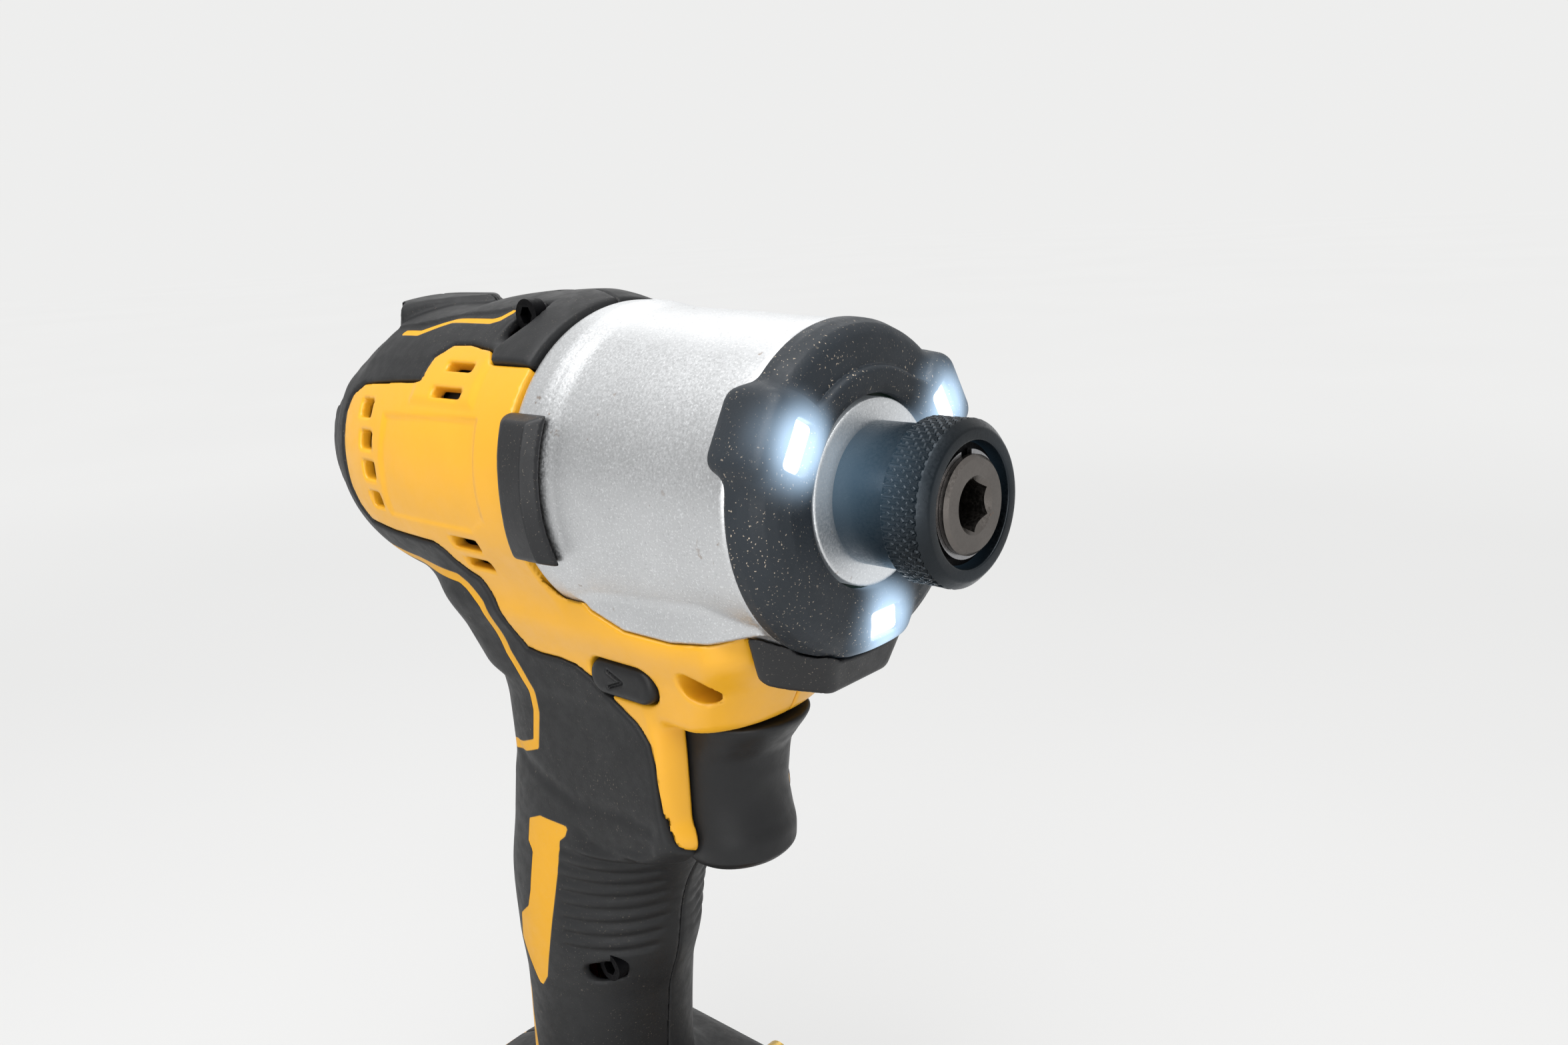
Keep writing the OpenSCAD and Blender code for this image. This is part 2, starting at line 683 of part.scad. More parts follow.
module nose_bumper() {
    inner = case_front_r + seat_fit;
    front = nose_x - 15.4;
    color([0.16, 0.17, 0.18])
        difference() {
            union() {
                turned([[flange_r + 0.4, front - 0.8], [flange_r + 1.4, front], [case_front_r - 3.6, front],
                    [bumper_r - 1.6, front - 1.4], [bumper_r - 0.3, front - 3.6], [bumper_r, bumper_x],
                    [inner, bumper_x], [inner, front_wall_x - 2.7], [inner - 2.7, front_wall_x + seat_fit],
                    [inner - 2.7, front - 1.8], [flange_r + 0.4, front - 1.8]]);
                for (a = LAMP_ANGLES)
                    turned([[inner - 2.6, front - 1], [bumper_r - 0.6, front - 0.6], [pod_r, front - 2.6],
                        [pod_r, pod_x + 1], [pod_r - 0.7, pod_x], [inner + 0.35, pod_x],
                        [inner + 0.35, front_wall_x - 2.7], [inner - 2.6, front_wall_x]], a - 16, 32);
            }
            lamp_frame()
                block([nose_x - 20, -lamp_half - seat_fit, -lamp_in_r - lamp_depth - seat_fit],
                    [nose_x - 10, lamp_half + seat_fit, -lamp_in_r + seat_fit]);
        }
}
module chin_cover() {
    front = nose_x - 20.5;
    rear = nose_x - 28;
    edge = 0.01;
    corners = [[front, 7, below(bumper_r + 4.8)], [rear + 1.5, 13.6, below(bumper_r + 3)],
        [rear, 14, below(bumper_r + 2)], [front + 1.4, 7.4, below(bumper_r - 8)],
        [rear + 1.5, 16, below(bumper_r - 7)], [rear, 16.4, below(bumper_r - 7)]];
    color([0.16, 0.17, 0.18])
        difference() {
            hull()
                for (c = corners, s = [-1, 1])
                    translate([c[0], s * c[1], c[2]])
                        cube(edge, center = true);
            rod(nose_x, pod_x - slide_fit, pod_r + slide_fit);
            rod(nose_x, rear - 1, bumper_r + slide_fit);
            keel(seat_fit);
        }
}
module lamp_board() {
    color([0.1, 0.35, 0.2]) {
        tube(front_wall_x + seat_fit + board_t, front_wall_x + seat_fit, case_front_r - 3,
            flange_r + seat_fit);
        lamp_frame()
            block([front_wall_x + seat_fit, -1.6, -lamp_in_r - lamp_depth + 0.6],
                [nose_x - 17.8, 1.6, -lamp_in_r - 0.6]);
    }
}
module lamp_lenses() {
    color([0.92, 0.96, 1])
        lamp_frame()
            block([nose_x - 17.6, -lamp_half, -lamp_in_r - lamp_depth], [lamp_x, lamp_half, -lamp_in_r]);
}
module side_bumpers() {
    inner = shoulder_r + seat_fit;
    front = case_rear_x + 8.6;
    rear = case_rear_x - 0.4;
    color([0.15, 0.16, 0.17])
        for (side = [-1, 1])
            turned_side([[inner, rear], [inner + 1.6, rear], [inner + 2.4, rear + 2],
                [inner + 2.4, front - 3], [inner + 0.9, front], [inner, front]], side, -28, 28);
}

// Bit collet and anvil

module anvil() {
    wing_half = 22;
    color([0.5, 0.48, 0.45])
        difference() {
            union() {
                turned([[0, anvil_rear_x], [9, anvil_rear_x], [9, wing_x], [journal_r, wing_x],
                    [journal_r, sleeve_rear_x + 2.2], [shank_r, sleeve_rear_x + 2.2], [shank_r, ring_x],
                    [shank_r - 0.9, ring_x], [shank_r - 0.9, ring_x + ring_t + seat_fit],
                    [face_r, ring_x + ring_t + seat_fit], [face_r, face_x - 0.5], [face_r - 0.5, face_x],
                    [0, face_x]]);
                for (a = [0, 180])
                    turned([[8, anvil_rear_x], [wing_r, anvil_rear_x], [wing_r, wing_x], [8, wing_x]],
                        a - wing_half, 2 * wing_half);
            }
            translate([face_x - hex_depth, 0, drive_z])
                rotate([0, 90, 0])
                    cylinder(h = hex_depth + 1, r = hex_af / sqrt(3), $fn = 6);
            turned([[0, face_x - 3.95], [3.95, face_x], [3.95, face_x + 1], [0, face_x + 1]]);
            cross_rod(bit_ball_x, drive_z, -20, 20, bit_ball_r + run_fit);
            rod(anvil_rear_x + 8, anvil_rear_x - 1, 4 + run_fit);
        }
}
module anvil_bush() {
    color([0.72, 0.52, 0.3])
        tube(flange_x - lip_t - seat_fit, case_mouth_x, bush_or, journal_r + run_fit);
}
module thrust_washer() {
    color([0.85, 0.84, 0.8])
        tube(case_mouth_x - seat_fit, case_mouth_x - seat_fit - thrust_t, 14, journal_r + 0.2);
}
module collet_sleeve() {
    color([0.12, 0.13, 0.14])
        turned([[recess_r, nose_x], [sleeve_r - 1.2, nose_x], [sleeve_r, nose_x - sleeve_chamfer],
            [sleeve_r, knurl_rear_x], [neck_r, knurl_rear_x - 0.5], [neck_r, sleeve_rear_x],
            [relief_r, sleeve_rear_x], [relief_r, bit_ball_x - 1.6], [land_r, bit_ball_x], [land_r, land_x],
            [recess_r, land_x]]);
}
module collet_spring() {
    color([0.6, 0.6, 0.6])
        spring_on_axis(washer_x - seat_fit, land_x + seat_fit, 4, shank_r + 1.3, sleeve_wire);
}
module collet_washer() {
    color([0.2, 0.2, 0.21])
        tube(washer_x + washer_t, washer_x, recess_r - slide_fit, shank_r + seat_fit);
}
module snap_ring() {
    color([0.25, 0.25, 0.26])
        difference() {
            tube(ring_x + ring_t + seat_fit / 2, ring_x + seat_fit / 2, shank_r + 1.3, shank_r - 0.8);
            block([ring_x - 1, -1.2, drive_z], [ring_x + 2, 1.2, drive_z + 12]);
        }
}
module bit_ball(side) {
    color([0.75, 0.75, 0.77])
        translate([bit_ball_x, side * bit_ball_at, drive_z])
            sphere(bit_ball_r);
}
module bit_ball_right() { bit_ball(-1); }
module bit_ball_left() { bit_ball(1); }

// Hammer and gear train

module hammer() {
    lug_half = 27;
    color([0.4, 0.4, 0.42])
        difference() {
            union() {
                turned([[cam_r + seat_fit, hammer_x], [hammer_r, hammer_x], [hammer_r, hammer_rear_x],
                    [carrier_r + 0.6, hammer_rear_x], [carrier_r + 0.6, hammer_recess_x],
                    [hammer_hub_r, hammer_recess_x], [hammer_hub_r, hammer_hub_x],
                    [cam_r + seat_fit, hammer_hub_x]]);
                for (a = [90, 270])
                    turned([[10, hammer_x - 1], [hammer_r - 0.6, hammer_x - 1],
                        [hammer_r - 0.6, hammer_x + lug_len], [10, hammer_x + lug_len]],
                        a - lug_half, 2 * lug_half);
            }
            for (s = [-1, 1])
                rod(hammer_x + 8, cam_ball_x - cam_ball_r - 0.3, cam_ball_r + 0.15, 0, s * cam_r);
        }
}
module hammer_spring() {
    mean = (carrier_r + hammer_hub_r + 0.6) / 2;
    color([0.35, 0.35, 0.36])
        spring_on_axis(hammer_recess_x - seat_fit, carrier_x + seat_fit, 3, mean, hammer_wire);
}
module planet_ring() {
    for (i = [0:PLANETS - 1])
        translate([0, 0, drive_z])
            rotate([360 * i / PLANETS, 0, 0])
                translate([0, 0, -planet_orbit - drive_z])
                    children();
}
module cam_spindle() {
    post_r = 2.6;
    color([0.55, 0.54, 0.52])
        difference() {
            union() {
                rod(anvil_rear_x + 7.4, hammer_x + 0.1, 4);
                rod(hammer_x, carrier_x - 1, cam_r);
                rod(carrier_x, carrier_x - carrier_t, carrier_r);
                tube(carrier_rear_x + carrier_rear_t, carrier_rear_x, carrier_r, sun_bore_r);
                tube(carrier_rear_x + 1, big_bearing_x - big_bearing_w, spindle_journal_r, sun_bore_r);
                for (i = [0:PLANETS - 1])
                    translate([carrier_rear_x + 0.5, 0, drive_z])
                        rotate([60 + 360 * i / PLANETS, 0, 0])
                            translate([0, 0, -planet_orbit - 1])
                                rotate([0, 90, 0])
                                    cylinder(h = carrier_x - carrier_rear_x - 1, r = post_r);
            }
            planet_ring()
                rod(carrier_x + 1, carrier_rear_x - 1, pin_r + 0.02);
            for (s = [-1, 1])
                translate([cam_ball_x, 0, drive_z + s * cam_r])
                    sphere(cam_ball_r + run_fit);
        }
}
module cam_balls() {
    color([0.78, 0.78, 0.8])
        for (s = [-1, 1])
            translate([cam_ball_x, 0, drive_z + s * cam_r])
                sphere(cam_ball_r);
}
module planet_pins() {
    color([0.7, 0.7, 0.72])
        planet_ring()
            rod(carrier_x - 0.4, carrier_rear_x + 0.3, pin_r);
}
module planet_gear(i) {
    color([0.6, 0.58, 0.55])
        translate([0, 0, drive_z])
            rotate([120 * i, 0, 0])
                translate([0, 0, -planet_orbit - drive_z])
                    difference() {
                        gear(PLANET_TEETH, gear_x, gear_rear_x, 180 + 180 / PLANET_TEETH);
                        rod(gear_x + 1, gear_rear_x - 1, pin_r + run_fit);
                    }
}
module planet_gear_1() { planet_gear(0); }
module planet_gear_2() { planet_gear(1); }
module planet_gear_3() { planet_gear(2); }
module ring_gear() {
    pitch_r = gear_module * RING_TEETH / 2;
    color([0.5, 0.5, 0.5])
        difference() {
            rod(gear_x, ring_rear_x, ring_or);
            translate([ring_rear_x - 1, 0, drive_z])
                rotate([0, 90, 0])
                    linear_extrude(gear_x - ring_rear_x + 2)
                        polygon(gear_points(RING_TEETH, pitch_r + root_depth * gear_module,
                            pitch_r - 0.9 * gear_module, -backlash));
        }
}
module bearing_plate() {
    color([0.3, 0.31, 0.33])
        turned([[carrier_r + 1, ring_rear_x - seat_fit], [ring_or - seat_fit / 2, ring_rear_x - seat_fit],
            [ring_or - seat_fit / 2, spigot_x - seat_fit], [stator_r, spigot_x - seat_fit],
            [stator_r, plate_rear_x], [bearing_r + 2.5, plate_rear_x], [bearing_r + 2.5, plate_hub_x],
            [bearing_r + 0.02, plate_hub_x], [bearing_r + 0.02, front_bearing_x],
            [shaft_r + 2, front_bearing_x], [shaft_r + 2, big_bearing_x - big_bearing_w - seat_fit],
            [big_bearing_r + 0.02, big_bearing_x - big_bearing_w - seat_fit], [big_bearing_r + 0.02, plate_x],
            [carrier_r + 1, plate_x]]);
}
module bearing(front, w, outer, inner) {
    groove = 0.25;
    mid = (outer + inner) / 2;
    turned([[inner, front], [mid - 1, front], [mid - 0.9, front - groove], [mid + 0.9, front - groove],
        [mid + 1, front], [outer, front], [outer, front - w], [mid + 1, front - w],
        [mid + 0.9, front - w + groove], [mid - 0.9, front - w + groove], [mid - 1, front - w],
        [inner, front - w]]);
}
module spindle_bearing() {
    color([0.75, 0.75, 0.77])
        bearing(big_bearing_x, big_bearing_w, big_bearing_r, spindle_journal_r + run_fit);
}
module front_bearing() {
    color([0.75, 0.75, 0.77])
        bearing(front_bearing_x - seat_fit, bearing_w, bearing_r, shaft_r + run_fit);
}
module rear_bearing() {
    color([0.75, 0.75, 0.77])
        bearing(rear_bearing_x, bearing_w, bearing_r, shaft_r + run_fit);
}

// Motor

module stator() {
    color([0.35, 0.36, 0.38])
        translate([stator_rear_x, 0, drive_z])
            rotate([0, 90, 0])
                linear_extrude(stator_len)
                    difference() {
                        union() {
                            difference() {
                                circle(stator_r);
                                circle(stator_r - yoke_t);
                            }
                            for (i = [0:SLOTS - 1])
                                rotate(360 * i / SLOTS) {
                                    translate([stator_bore_r - 1, -tooth_w / 2])
                                        square([stator_r - yoke_t - stator_bore_r + 2, tooth_w]);
                                    translate([stator_bore_r - 1, -tooth_w / 2 - 2])
                                        square([2, tooth_w + 4]);
                                }
                        }
                        circle(stator_bore_r);
                    }
}
module windings() {
    inner = stator_bore_r + 1.2;
    color([0.72, 0.38, 0.16])
        for (i = [0:SLOTS - 1])
            translate([0, 0, drive_z])
                rotate([360 * i / SLOTS, 0, 0])
                    difference() {
                        block([stator_rear_x - winding_len, -winding_half, -winding_or],
                            [stator_x + winding_len, winding_half, -inner]);
                        block([stator_rear_x - seat_fit, -tooth_w / 2 - seat_fit, -winding_or - 1],
                            [stator_x + seat_fit, tooth_w / 2 + seat_fit, -inner + 1]);
                    }
}
module sensor_board() {
    front = stator_x + winding_len + slide_fit + board_t;
    color([0.12, 0.35, 0.22])
        tube(front, front - board_t, stator_r - 1.4, bearing_r + 3.3);
}
module rotor_core() {
    color([0.3, 0.3, 0.32])
        tube(stator_x, stator_rear_x, rotor_r, shaft_r + 0.02);
}
module rotor_shaft() {
    color([0.66, 0.66, 0.68]) {
        gear(SUN_TEETH, gear_x - 0.4, gear_rear_x - 0.4, 0);
        rod(gear_rear_x, rear_bearing_x - bearing_w, shaft_r);
    }
}
module fan() {
    blades = 11;
    color([0.2, 0.2, 0.21])
        difference() {
            union() {
                rod(fan_x, fan_rear_x, shaft_r + 3);
                rod(fan_x, fan_x - 1.2, fan_r);
                for (i = [0:blades - 1])
                    translate([0, 0, drive_z])
                        rotate([360 * i / blades, 0, 0])
                            block([fan_rear_x, -0.6, shaft_r + 2], [fan_x - 0.5, 0.6, fan_r - 0.3]);
            }
            rod(fan_x + 1, fan_rear_x - 1, shaft_r + 0.02);
        }
}

// Trigger, switch and electronics

// Rows of the trigger from top to bottom: drop below its top, front and rear past its back face,
// narrowing of each side
TRIGGER_ROWS = [[0, 17, 0, 0], [1.6, 16, 0, 0], [4, 14.1, 0, 0], [7, 12.1, 0, 0], [10.5, 10.5, 0, 0],
    [14.4, 9.7, 0, 0], [18.9, 10.8, 0, 0], [22, 12.1, 0, 0], [24.2, 12.1, 0, 0.3], [26, 11, 0.8, 1],
    [27.2, 9, 2.4, 2.4], [27.8, 7, 4, 4]];
module trigger() {
    half = trigger_w / 2;
    rise = trigger_bottom - trigger_top;
    rows = [for (r = TRIGGER_ROWS)
        [below(trigger_top + r[0] * rise / 27.8), trigger_x + r[2], trigger_x + r[1],
        half - r[3], 0.4, min(9, (r[1] - r[2]) * 0.9)]];
    color([0.11, 0.12, 0.13])
        difference() {
            union() {
                loft(rows);
                rod(trigger_x + 1, switch_x - 4, stem_r, 0, -stem_at);
            }
            difference() {
                rod(trigger_x + 5, trigger_x - 1, trigger_spring_r + 1.2, 0, -stem_at);
                rod(trigger_x + 6, trigger_x - 2, stem_r, 0, -stem_at);
            }
        }
}
module trigger_spring() {
    rear = switch_x + seat_fit;
    color([0.7, 0.7, 0.7])
        translate([rear, 0, below(stem_at)])
            rotate([0, 90, 0])
                spring(5, trigger_spring_r, trigger_wire, trigger_x + 5 - seat_fit - rear);
}
module switch_body() {
    color([0.2, 0.2, 0.22])
        difference() {
            block([switch_x - switch_len, -switch_half, below(switch_bottom)],
                [switch_x, switch_half, below(switch_top)]);
            rod(switch_x + 1, switch_x - 5 - trigger_travel, stem_r + slide_fit, 0, -stem_at);
        }
}
module direction_selector() {
    color([0.12, 0.13, 0.14])
        intersection() {
            selector_outline(0);
            block([-80, selector_rest, 0], [80, selector_rest + selector_len, drive_z]);
        }
}
module controller() {
    low = cavity_top_z + 1.3 + seat_fit;
    color([0.1, 0.3, 0.2])
        block([-14, -9, low], [9, 9, low + controller_h]);
}
module terminal_block() {
    front = cavity_rear_x + slide_fit + terminal_len;
    top = cavity_top_z - seat_fit;
    color([0.18, 0.18, 0.19]) {
        block([cavity_rear_x + slide_fit, -12.5, foot_z + 1.2], [front, 12.5, top]);
        for (y = BLADES)
            block([front - 2, y - 0.4, foot_z + neck_h + 0.6], [front + blade_len, y + 0.4, top - 1.6]);
    }
}
module motor_leads() {
    color([0.6, 0.1, 0.1])
        for (y = [-3, 0, 3])
            sweep([for (p = LEAD_ROUTE) [p[0], y, p[1]]], lead_r, 8);
}
module housing_screws() {
    color([0.2, 0.2, 0.21])
        for (p = SCREWS)
            difference() {
                union() {
                    cross_rod(p[0], p[1], screw_head_y - 2.4, screw_head_y - seat_fit, screw_head_r);
                    cross_rod(p[0], p[1], screw_head_y - 1, screw_head_y + screw_len, screw_r);
                }
                translate([p[0], screw_head_y - 2.5, p[1]])
                    rotate([-90, 0, 0])
                        cylinder(h = 1.6, r = 1.5, $fn = 6);
            }
}
module hook_inserts() {
    color([0.78, 0.62, 0.3])
        for (s = [-1, 1])
            difference() {
                cross_rod(insert_x, insert_z, s > 0 ? foot_half - insert_len : -foot_half,
                    s > 0 ? foot_half : -foot_half + insert_len, insert_r);
                cross_rod(insert_x, insert_z, -foot_half - 1, foot_half + 1, insert_bore_r);
            }
}

// Battery pack

module pack_plan(inset) {
    r = pack_corner - inset;
    translate([pack_x, 0])
        hull()
            for (x = [pack_corner, pack_len - pack_corner], y = [-1, 1])
                translate([x, y * (pack_w / 2 - pack_corner)])
                    circle(r, $fn = 32);
}
module pack_layer(low, high, inset) {
    translate([0, 0, low])
        linear_extrude(high - low)
            pack_plan(inset);
}
pack_boss_r = screw_head_r + 0.6;
pack_screw_in = pack_wall + pack_boss_r - 0.35;
PACK_SCREWS = [for (x = [pack_x + pack_screw_in, pack_x + pack_len - pack_screw_in], s = [-1, 1])
    [x, s * (pack_w / 2 - 12)]];
module pack_base() {
    color([0.15, 0.16, 0.17])
        difference() {
            union() {
                difference() {
                    union() {
                        pack_layer(0, 3, 1.5);
                        pack_layer(3, pack_split_z, 0);
                    }
                    pack_layer(pack_wall, pack_split_z + 1, pack_wall);
                }
                for (p = PACK_SCREWS)
                    translate([p[0], p[1], 1])
                        cylinder(h = pack_split_z - 1, r = pack_boss_r);
            }
            for (p = PACK_SCREWS) {
                translate([p[0], p[1], -1])
                    cylinder(h = pack_split_z + 2, r = screw_r + seat_fit);
                translate([p[0], p[1], -1])
                    cylinder(h = 5, r = screw_head_r + 0.3);
            }
        }
}
module latch_room() {
    block([latch_x - slide_fit, -latch_half - slide_fit, latch_floor_z],
        [latch_x + latch_len + slide_fit, latch_half + slide_fit, pack_h + 20]);
}
module pack_top() {
    gap = seat_fit / 2;
    color([0.17, 0.18, 0.19])
        difference() {
            union() {
                difference() {
                    pack_layer(pack_split_z + gap, pack_h - seat_fit, 0);
                    difference() {
                        pack_layer(pack_split_z - 1, pack_h - pack_wall, pack_wall);
                        block([latch_x - 2.5, -latch_half - 2.5, latch_floor_z - 2],
                            [latch_x + latch_len + 2.5, latch_half + 2.5, 80]);
                        for (p = PACK_SCREWS)
                            translate([p[0], p[1], pack_split_z])
                                cylinder(h = 30, r = pack_boss_r);
                    }
                }
                block([block_rear_x, -neck_half, pack_h - 2], [block_front_x, neck_half, foot_z + block_h]);
                block([block_rear_x, -rail_half, foot_z + neck_h],
                    [block_front_x, rail_half, foot_z + block_h]);
            }
            latch_room();
            for (y = BLADES)
                block([block_rear_x - 1, y - 1.3, pack_h + 1.4],
                    [block_rear_x + blade_len + 3, y + 1.3, foot_z + block_h - 0.8]);
            for (p = PACK_SCREWS)
                translate([p[0], p[1], pack_split_z - 1])
                    cylinder(h = 11, r = screw_r + seat_fit);
        }
}
module cell_row() {
    for (i = [0:CELLS - 1])
        translate([cell_x + i * cell_pitch, 0, cell_z])
            rotate([90, 0, 0])
                children();
}
module pack_cells() {
    color([0.25, 0.5, 0.65])
        cell_row()
            cylinder(h = cell_len, r = cell_r, center = true);
}
module cell_holder() {
    low_x = cell_x - cell_r - 1.4;
    high_x = cell_x + (CELLS - 1) * cell_pitch + cell_r + 1.4;
    color([0.12, 0.12, 0.13])
        difference() {
            for (s = [-1, 1])
                translate([low_x, s * (cell_len / 2 - holder_t) - holder_t / 2, pack_wall + seat_fit])
                    cube([high_x - low_x, holder_t, 2 * cell_r + 1.6]);
            cell_row()
                cylinder(h = cell_len + 2, r = cell_r + seat_fit, center = true);
        }
}
module pack_contacts() {
    color([0.8, 0.6, 0.3])
        for (y = BLADES, s = [-1, 1])
            block([block_rear_x + 2, y + s * 0.95 - 0.25, pack_h + 1.5],
                [block_rear_x + blade_len + 2.8, y + s * 0.95 + 0.25, foot_z + block_h - 2]);
}
module pack_latch() {
    color([0.85, 0.62, 0.1])
        difference() {
            block([latch_x, -latch_half, latch_top_z - latch_h],
                [latch_x + latch_len, latch_half, latch_top_z]);
            translate([latch_x + latch_len + 4, 0, latch_top_z + 3])
                rotate([90, 0, 0])
                    cylinder(h = 2 * latch_half - 8, r = 8, center = true);
        }
}
module latch_spring() {
    color([0.7, 0.7, 0.7])
        translate([latch_x + latch_len / 2, 0, latch_floor_z + seat_fit])
            spring(4, 3.2, 0.7, latch_travel + 3.5 - 2 * seat_fit);
}
module pack_screws() {
    color([0.3, 0.3, 0.31])
        for (p = PACK_SCREWS)
            translate([p[0], p[1], 0]) {
                translate([0, 0, 1.6])
                    cylinder(h = 2.4 - seat_fit, r = screw_head_r);
                translate([0, 0, 3])
                    cylinder(h = pack_split_z + 5, r = screw_r);
            }
}

housing_right();
housing_left();
overmould_right();
overmould_left();
gear_case();
nose_bumper();
chin_cover();
lamp_board();
lamp_lenses();
side_bumpers();
anvil();
anvil_bush();
thrust_washer();
collet_sleeve();
collet_spring();
collet_washer();
snap_ring();
bit_ball_right();
bit_ball_left();
hammer();
hammer_spring();
cam_spindle();
cam_balls();
planet_pins();
planet_gear_1();
planet_gear_2();
planet_gear_3();
ring_gear();
bearing_plate();
spindle_bearing();
front_bearing();
rear_bearing();
stator();
windings();
sensor_board();
rotor_core();
rotor_shaft();
fan();
trigger();
trigger_spring();
switch_body();
direction_selector();
controller();
terminal_block();
motor_leads();
housing_screws();
hook_inserts();
pack_base();
pack_top();
pack_cells();
cell_holder();
pack_contacts();
pack_latch();
latch_spring();
pack_screws();
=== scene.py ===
import json
import math
from functools import partial

import bmesh
import bpy
import numpy as np
from bpy.props import FloatProperty, FloatVectorProperty, IntProperty, PointerProperty
from mathutils import Matrix, Vector


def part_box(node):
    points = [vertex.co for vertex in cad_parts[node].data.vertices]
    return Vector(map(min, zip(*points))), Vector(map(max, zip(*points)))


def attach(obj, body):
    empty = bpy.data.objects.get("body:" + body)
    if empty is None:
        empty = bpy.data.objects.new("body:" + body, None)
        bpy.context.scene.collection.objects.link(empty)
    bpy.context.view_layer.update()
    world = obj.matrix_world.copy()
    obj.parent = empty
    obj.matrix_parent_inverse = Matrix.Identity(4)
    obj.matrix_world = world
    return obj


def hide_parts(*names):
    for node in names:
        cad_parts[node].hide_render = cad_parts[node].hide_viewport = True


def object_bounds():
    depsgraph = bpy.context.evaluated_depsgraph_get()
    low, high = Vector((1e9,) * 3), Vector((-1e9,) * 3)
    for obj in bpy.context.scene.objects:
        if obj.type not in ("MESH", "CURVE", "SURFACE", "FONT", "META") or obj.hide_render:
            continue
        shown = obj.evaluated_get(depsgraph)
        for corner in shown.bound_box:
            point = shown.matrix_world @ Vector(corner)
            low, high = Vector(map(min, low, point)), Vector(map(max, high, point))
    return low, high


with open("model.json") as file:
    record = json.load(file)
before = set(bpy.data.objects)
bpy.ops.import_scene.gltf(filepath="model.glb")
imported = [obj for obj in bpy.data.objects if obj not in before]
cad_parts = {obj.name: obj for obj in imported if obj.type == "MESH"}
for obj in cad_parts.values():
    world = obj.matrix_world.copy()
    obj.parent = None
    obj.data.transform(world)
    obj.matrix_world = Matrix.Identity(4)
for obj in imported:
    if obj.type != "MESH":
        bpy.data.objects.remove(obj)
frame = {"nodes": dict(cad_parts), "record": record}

bl_info = {
    "name": "Impact driver",
    "version": (1, 0, 0),
    "blender": (4, 5, 0),
    "location": "3D View > Sidebar > Impact driver",
    "description": "Dresses the impact driver with its moulded shells, nose, collet, pack and studio",
    "category": "Object",
}

MM = 0.001
CAD_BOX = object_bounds()


def span(node):
    """Lowest and highest corner of a CAD node, in millimetres."""
    low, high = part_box(node)
    return np.array(low) / MM, np.array(high) / MM


# Stations read from the frame: X forward, Y left, heights taken from the drive axis
SLEEVE_LOW, SLEEVE_HIGH = span("collet_sleeve")
_, CASE_HIGH = span("gear_case")
BARREL_LOW, _ = span("overmould_right")
STRIP_LOW, STRIP_HIGH = span("side_bumpers")
TRIGGER_LOW, TRIGGER_HIGH = span("trigger")
SELECTOR_LOW, SELECTOR_HIGH = span("direction_selector")
PACK_LOW, PACK_HIGH = span("pack_base")
LATCH_LOW, LATCH_HIGH = span("pack_latch")
LENS_LOW, LENS_HIGH = span("lamp_lenses")
BOOT_LOW, BOOT_HIGH = span("nose_bumper")
FOOT_LOW, _ = span("housing_right")

NOSE_X = SLEEVE_HIGH[0]
DRIVE_Z = (SLEEVE_LOW[2] + SLEEVE_HIGH[2]) / 2
FLANGE_X = CASE_HIGH[0]
CASE_REAR_X = STRIP_LOW[0] + 0.4
TAIL_X = BARREL_LOW[0] + 1.6
FOOT_H = FOOT_LOW[2] - DRIVE_Z
FOOT_TOP_H = FOOT_H + 16
BARREL_R = 26.0
GRIP_HALF = 15.9
LAMP_TURNS = (0.0, 120.0, 240.0)


# Fields: signed distances in millimetres, negative inside


def join(a, b, soft):
    """Union of two fields with a fillet."""
    t = np.clip(0.5 + 0.5 * (b - a) / soft, 0, 1)
    return b * (1 - t) + a * t - soft * t * (1 - t)


def common(a, b, soft):
    """Intersection of two fields with a rounded edge."""
    return -join(-a, -b, soft)


def cut(a, b, soft):
    """The first field without the second, with a rounded edge."""
    return -join(-a, b, soft)


def step_up(value, low, high):
    """Smooth rise from 0 at low to 1 at high."""
    t = np.clip((value - low) / (high - low), 0, 1)
    return t * t * (3 - 2 * t)


def window(value, low, high, soft):
    """1 between low and high, falling to 0 over a soft edge."""
    return step_up(value, low - soft / 2, low + soft / 2) * (
        1 - step_up(value, high - soft / 2, high + soft / 2)
    )


def flowing(points):
    """A smooth curve without overshoot through pairs of place and value."""
    place, value = np.array(sorted(points), float).T
    step = np.diff(place)
    rise = np.diff(value) / step
    slope = np.empty(len(place))
    slope[0], slope[-1] = rise[0], rise[-1]
    product = rise[:-1] * rise[1:]
    total = np.where(product > 0, rise[:-1] + rise[1:], 1)
    slope[1:-1] = np.where(product > 0, 2 * product / total, 0)
    fine = np.linspace(place[0], place[-1], 600)
    i = np.clip(np.searchsorted(place, fine) - 1, 0, len(step) - 1)
    s = (fine - place[i]) / step[i]
    line = (
        value[i] * (1 + 2 * s) * (1 - s) ** 2
        + slope[i] * step[i] * s * (1 - s) ** 2
        + value[i + 1] * s * s * (3 - 2 * s)
        + slope[i + 1] * step[i] * s * s * (s - 1)
    )
    return lambda q: np.interp(q, fine, line)


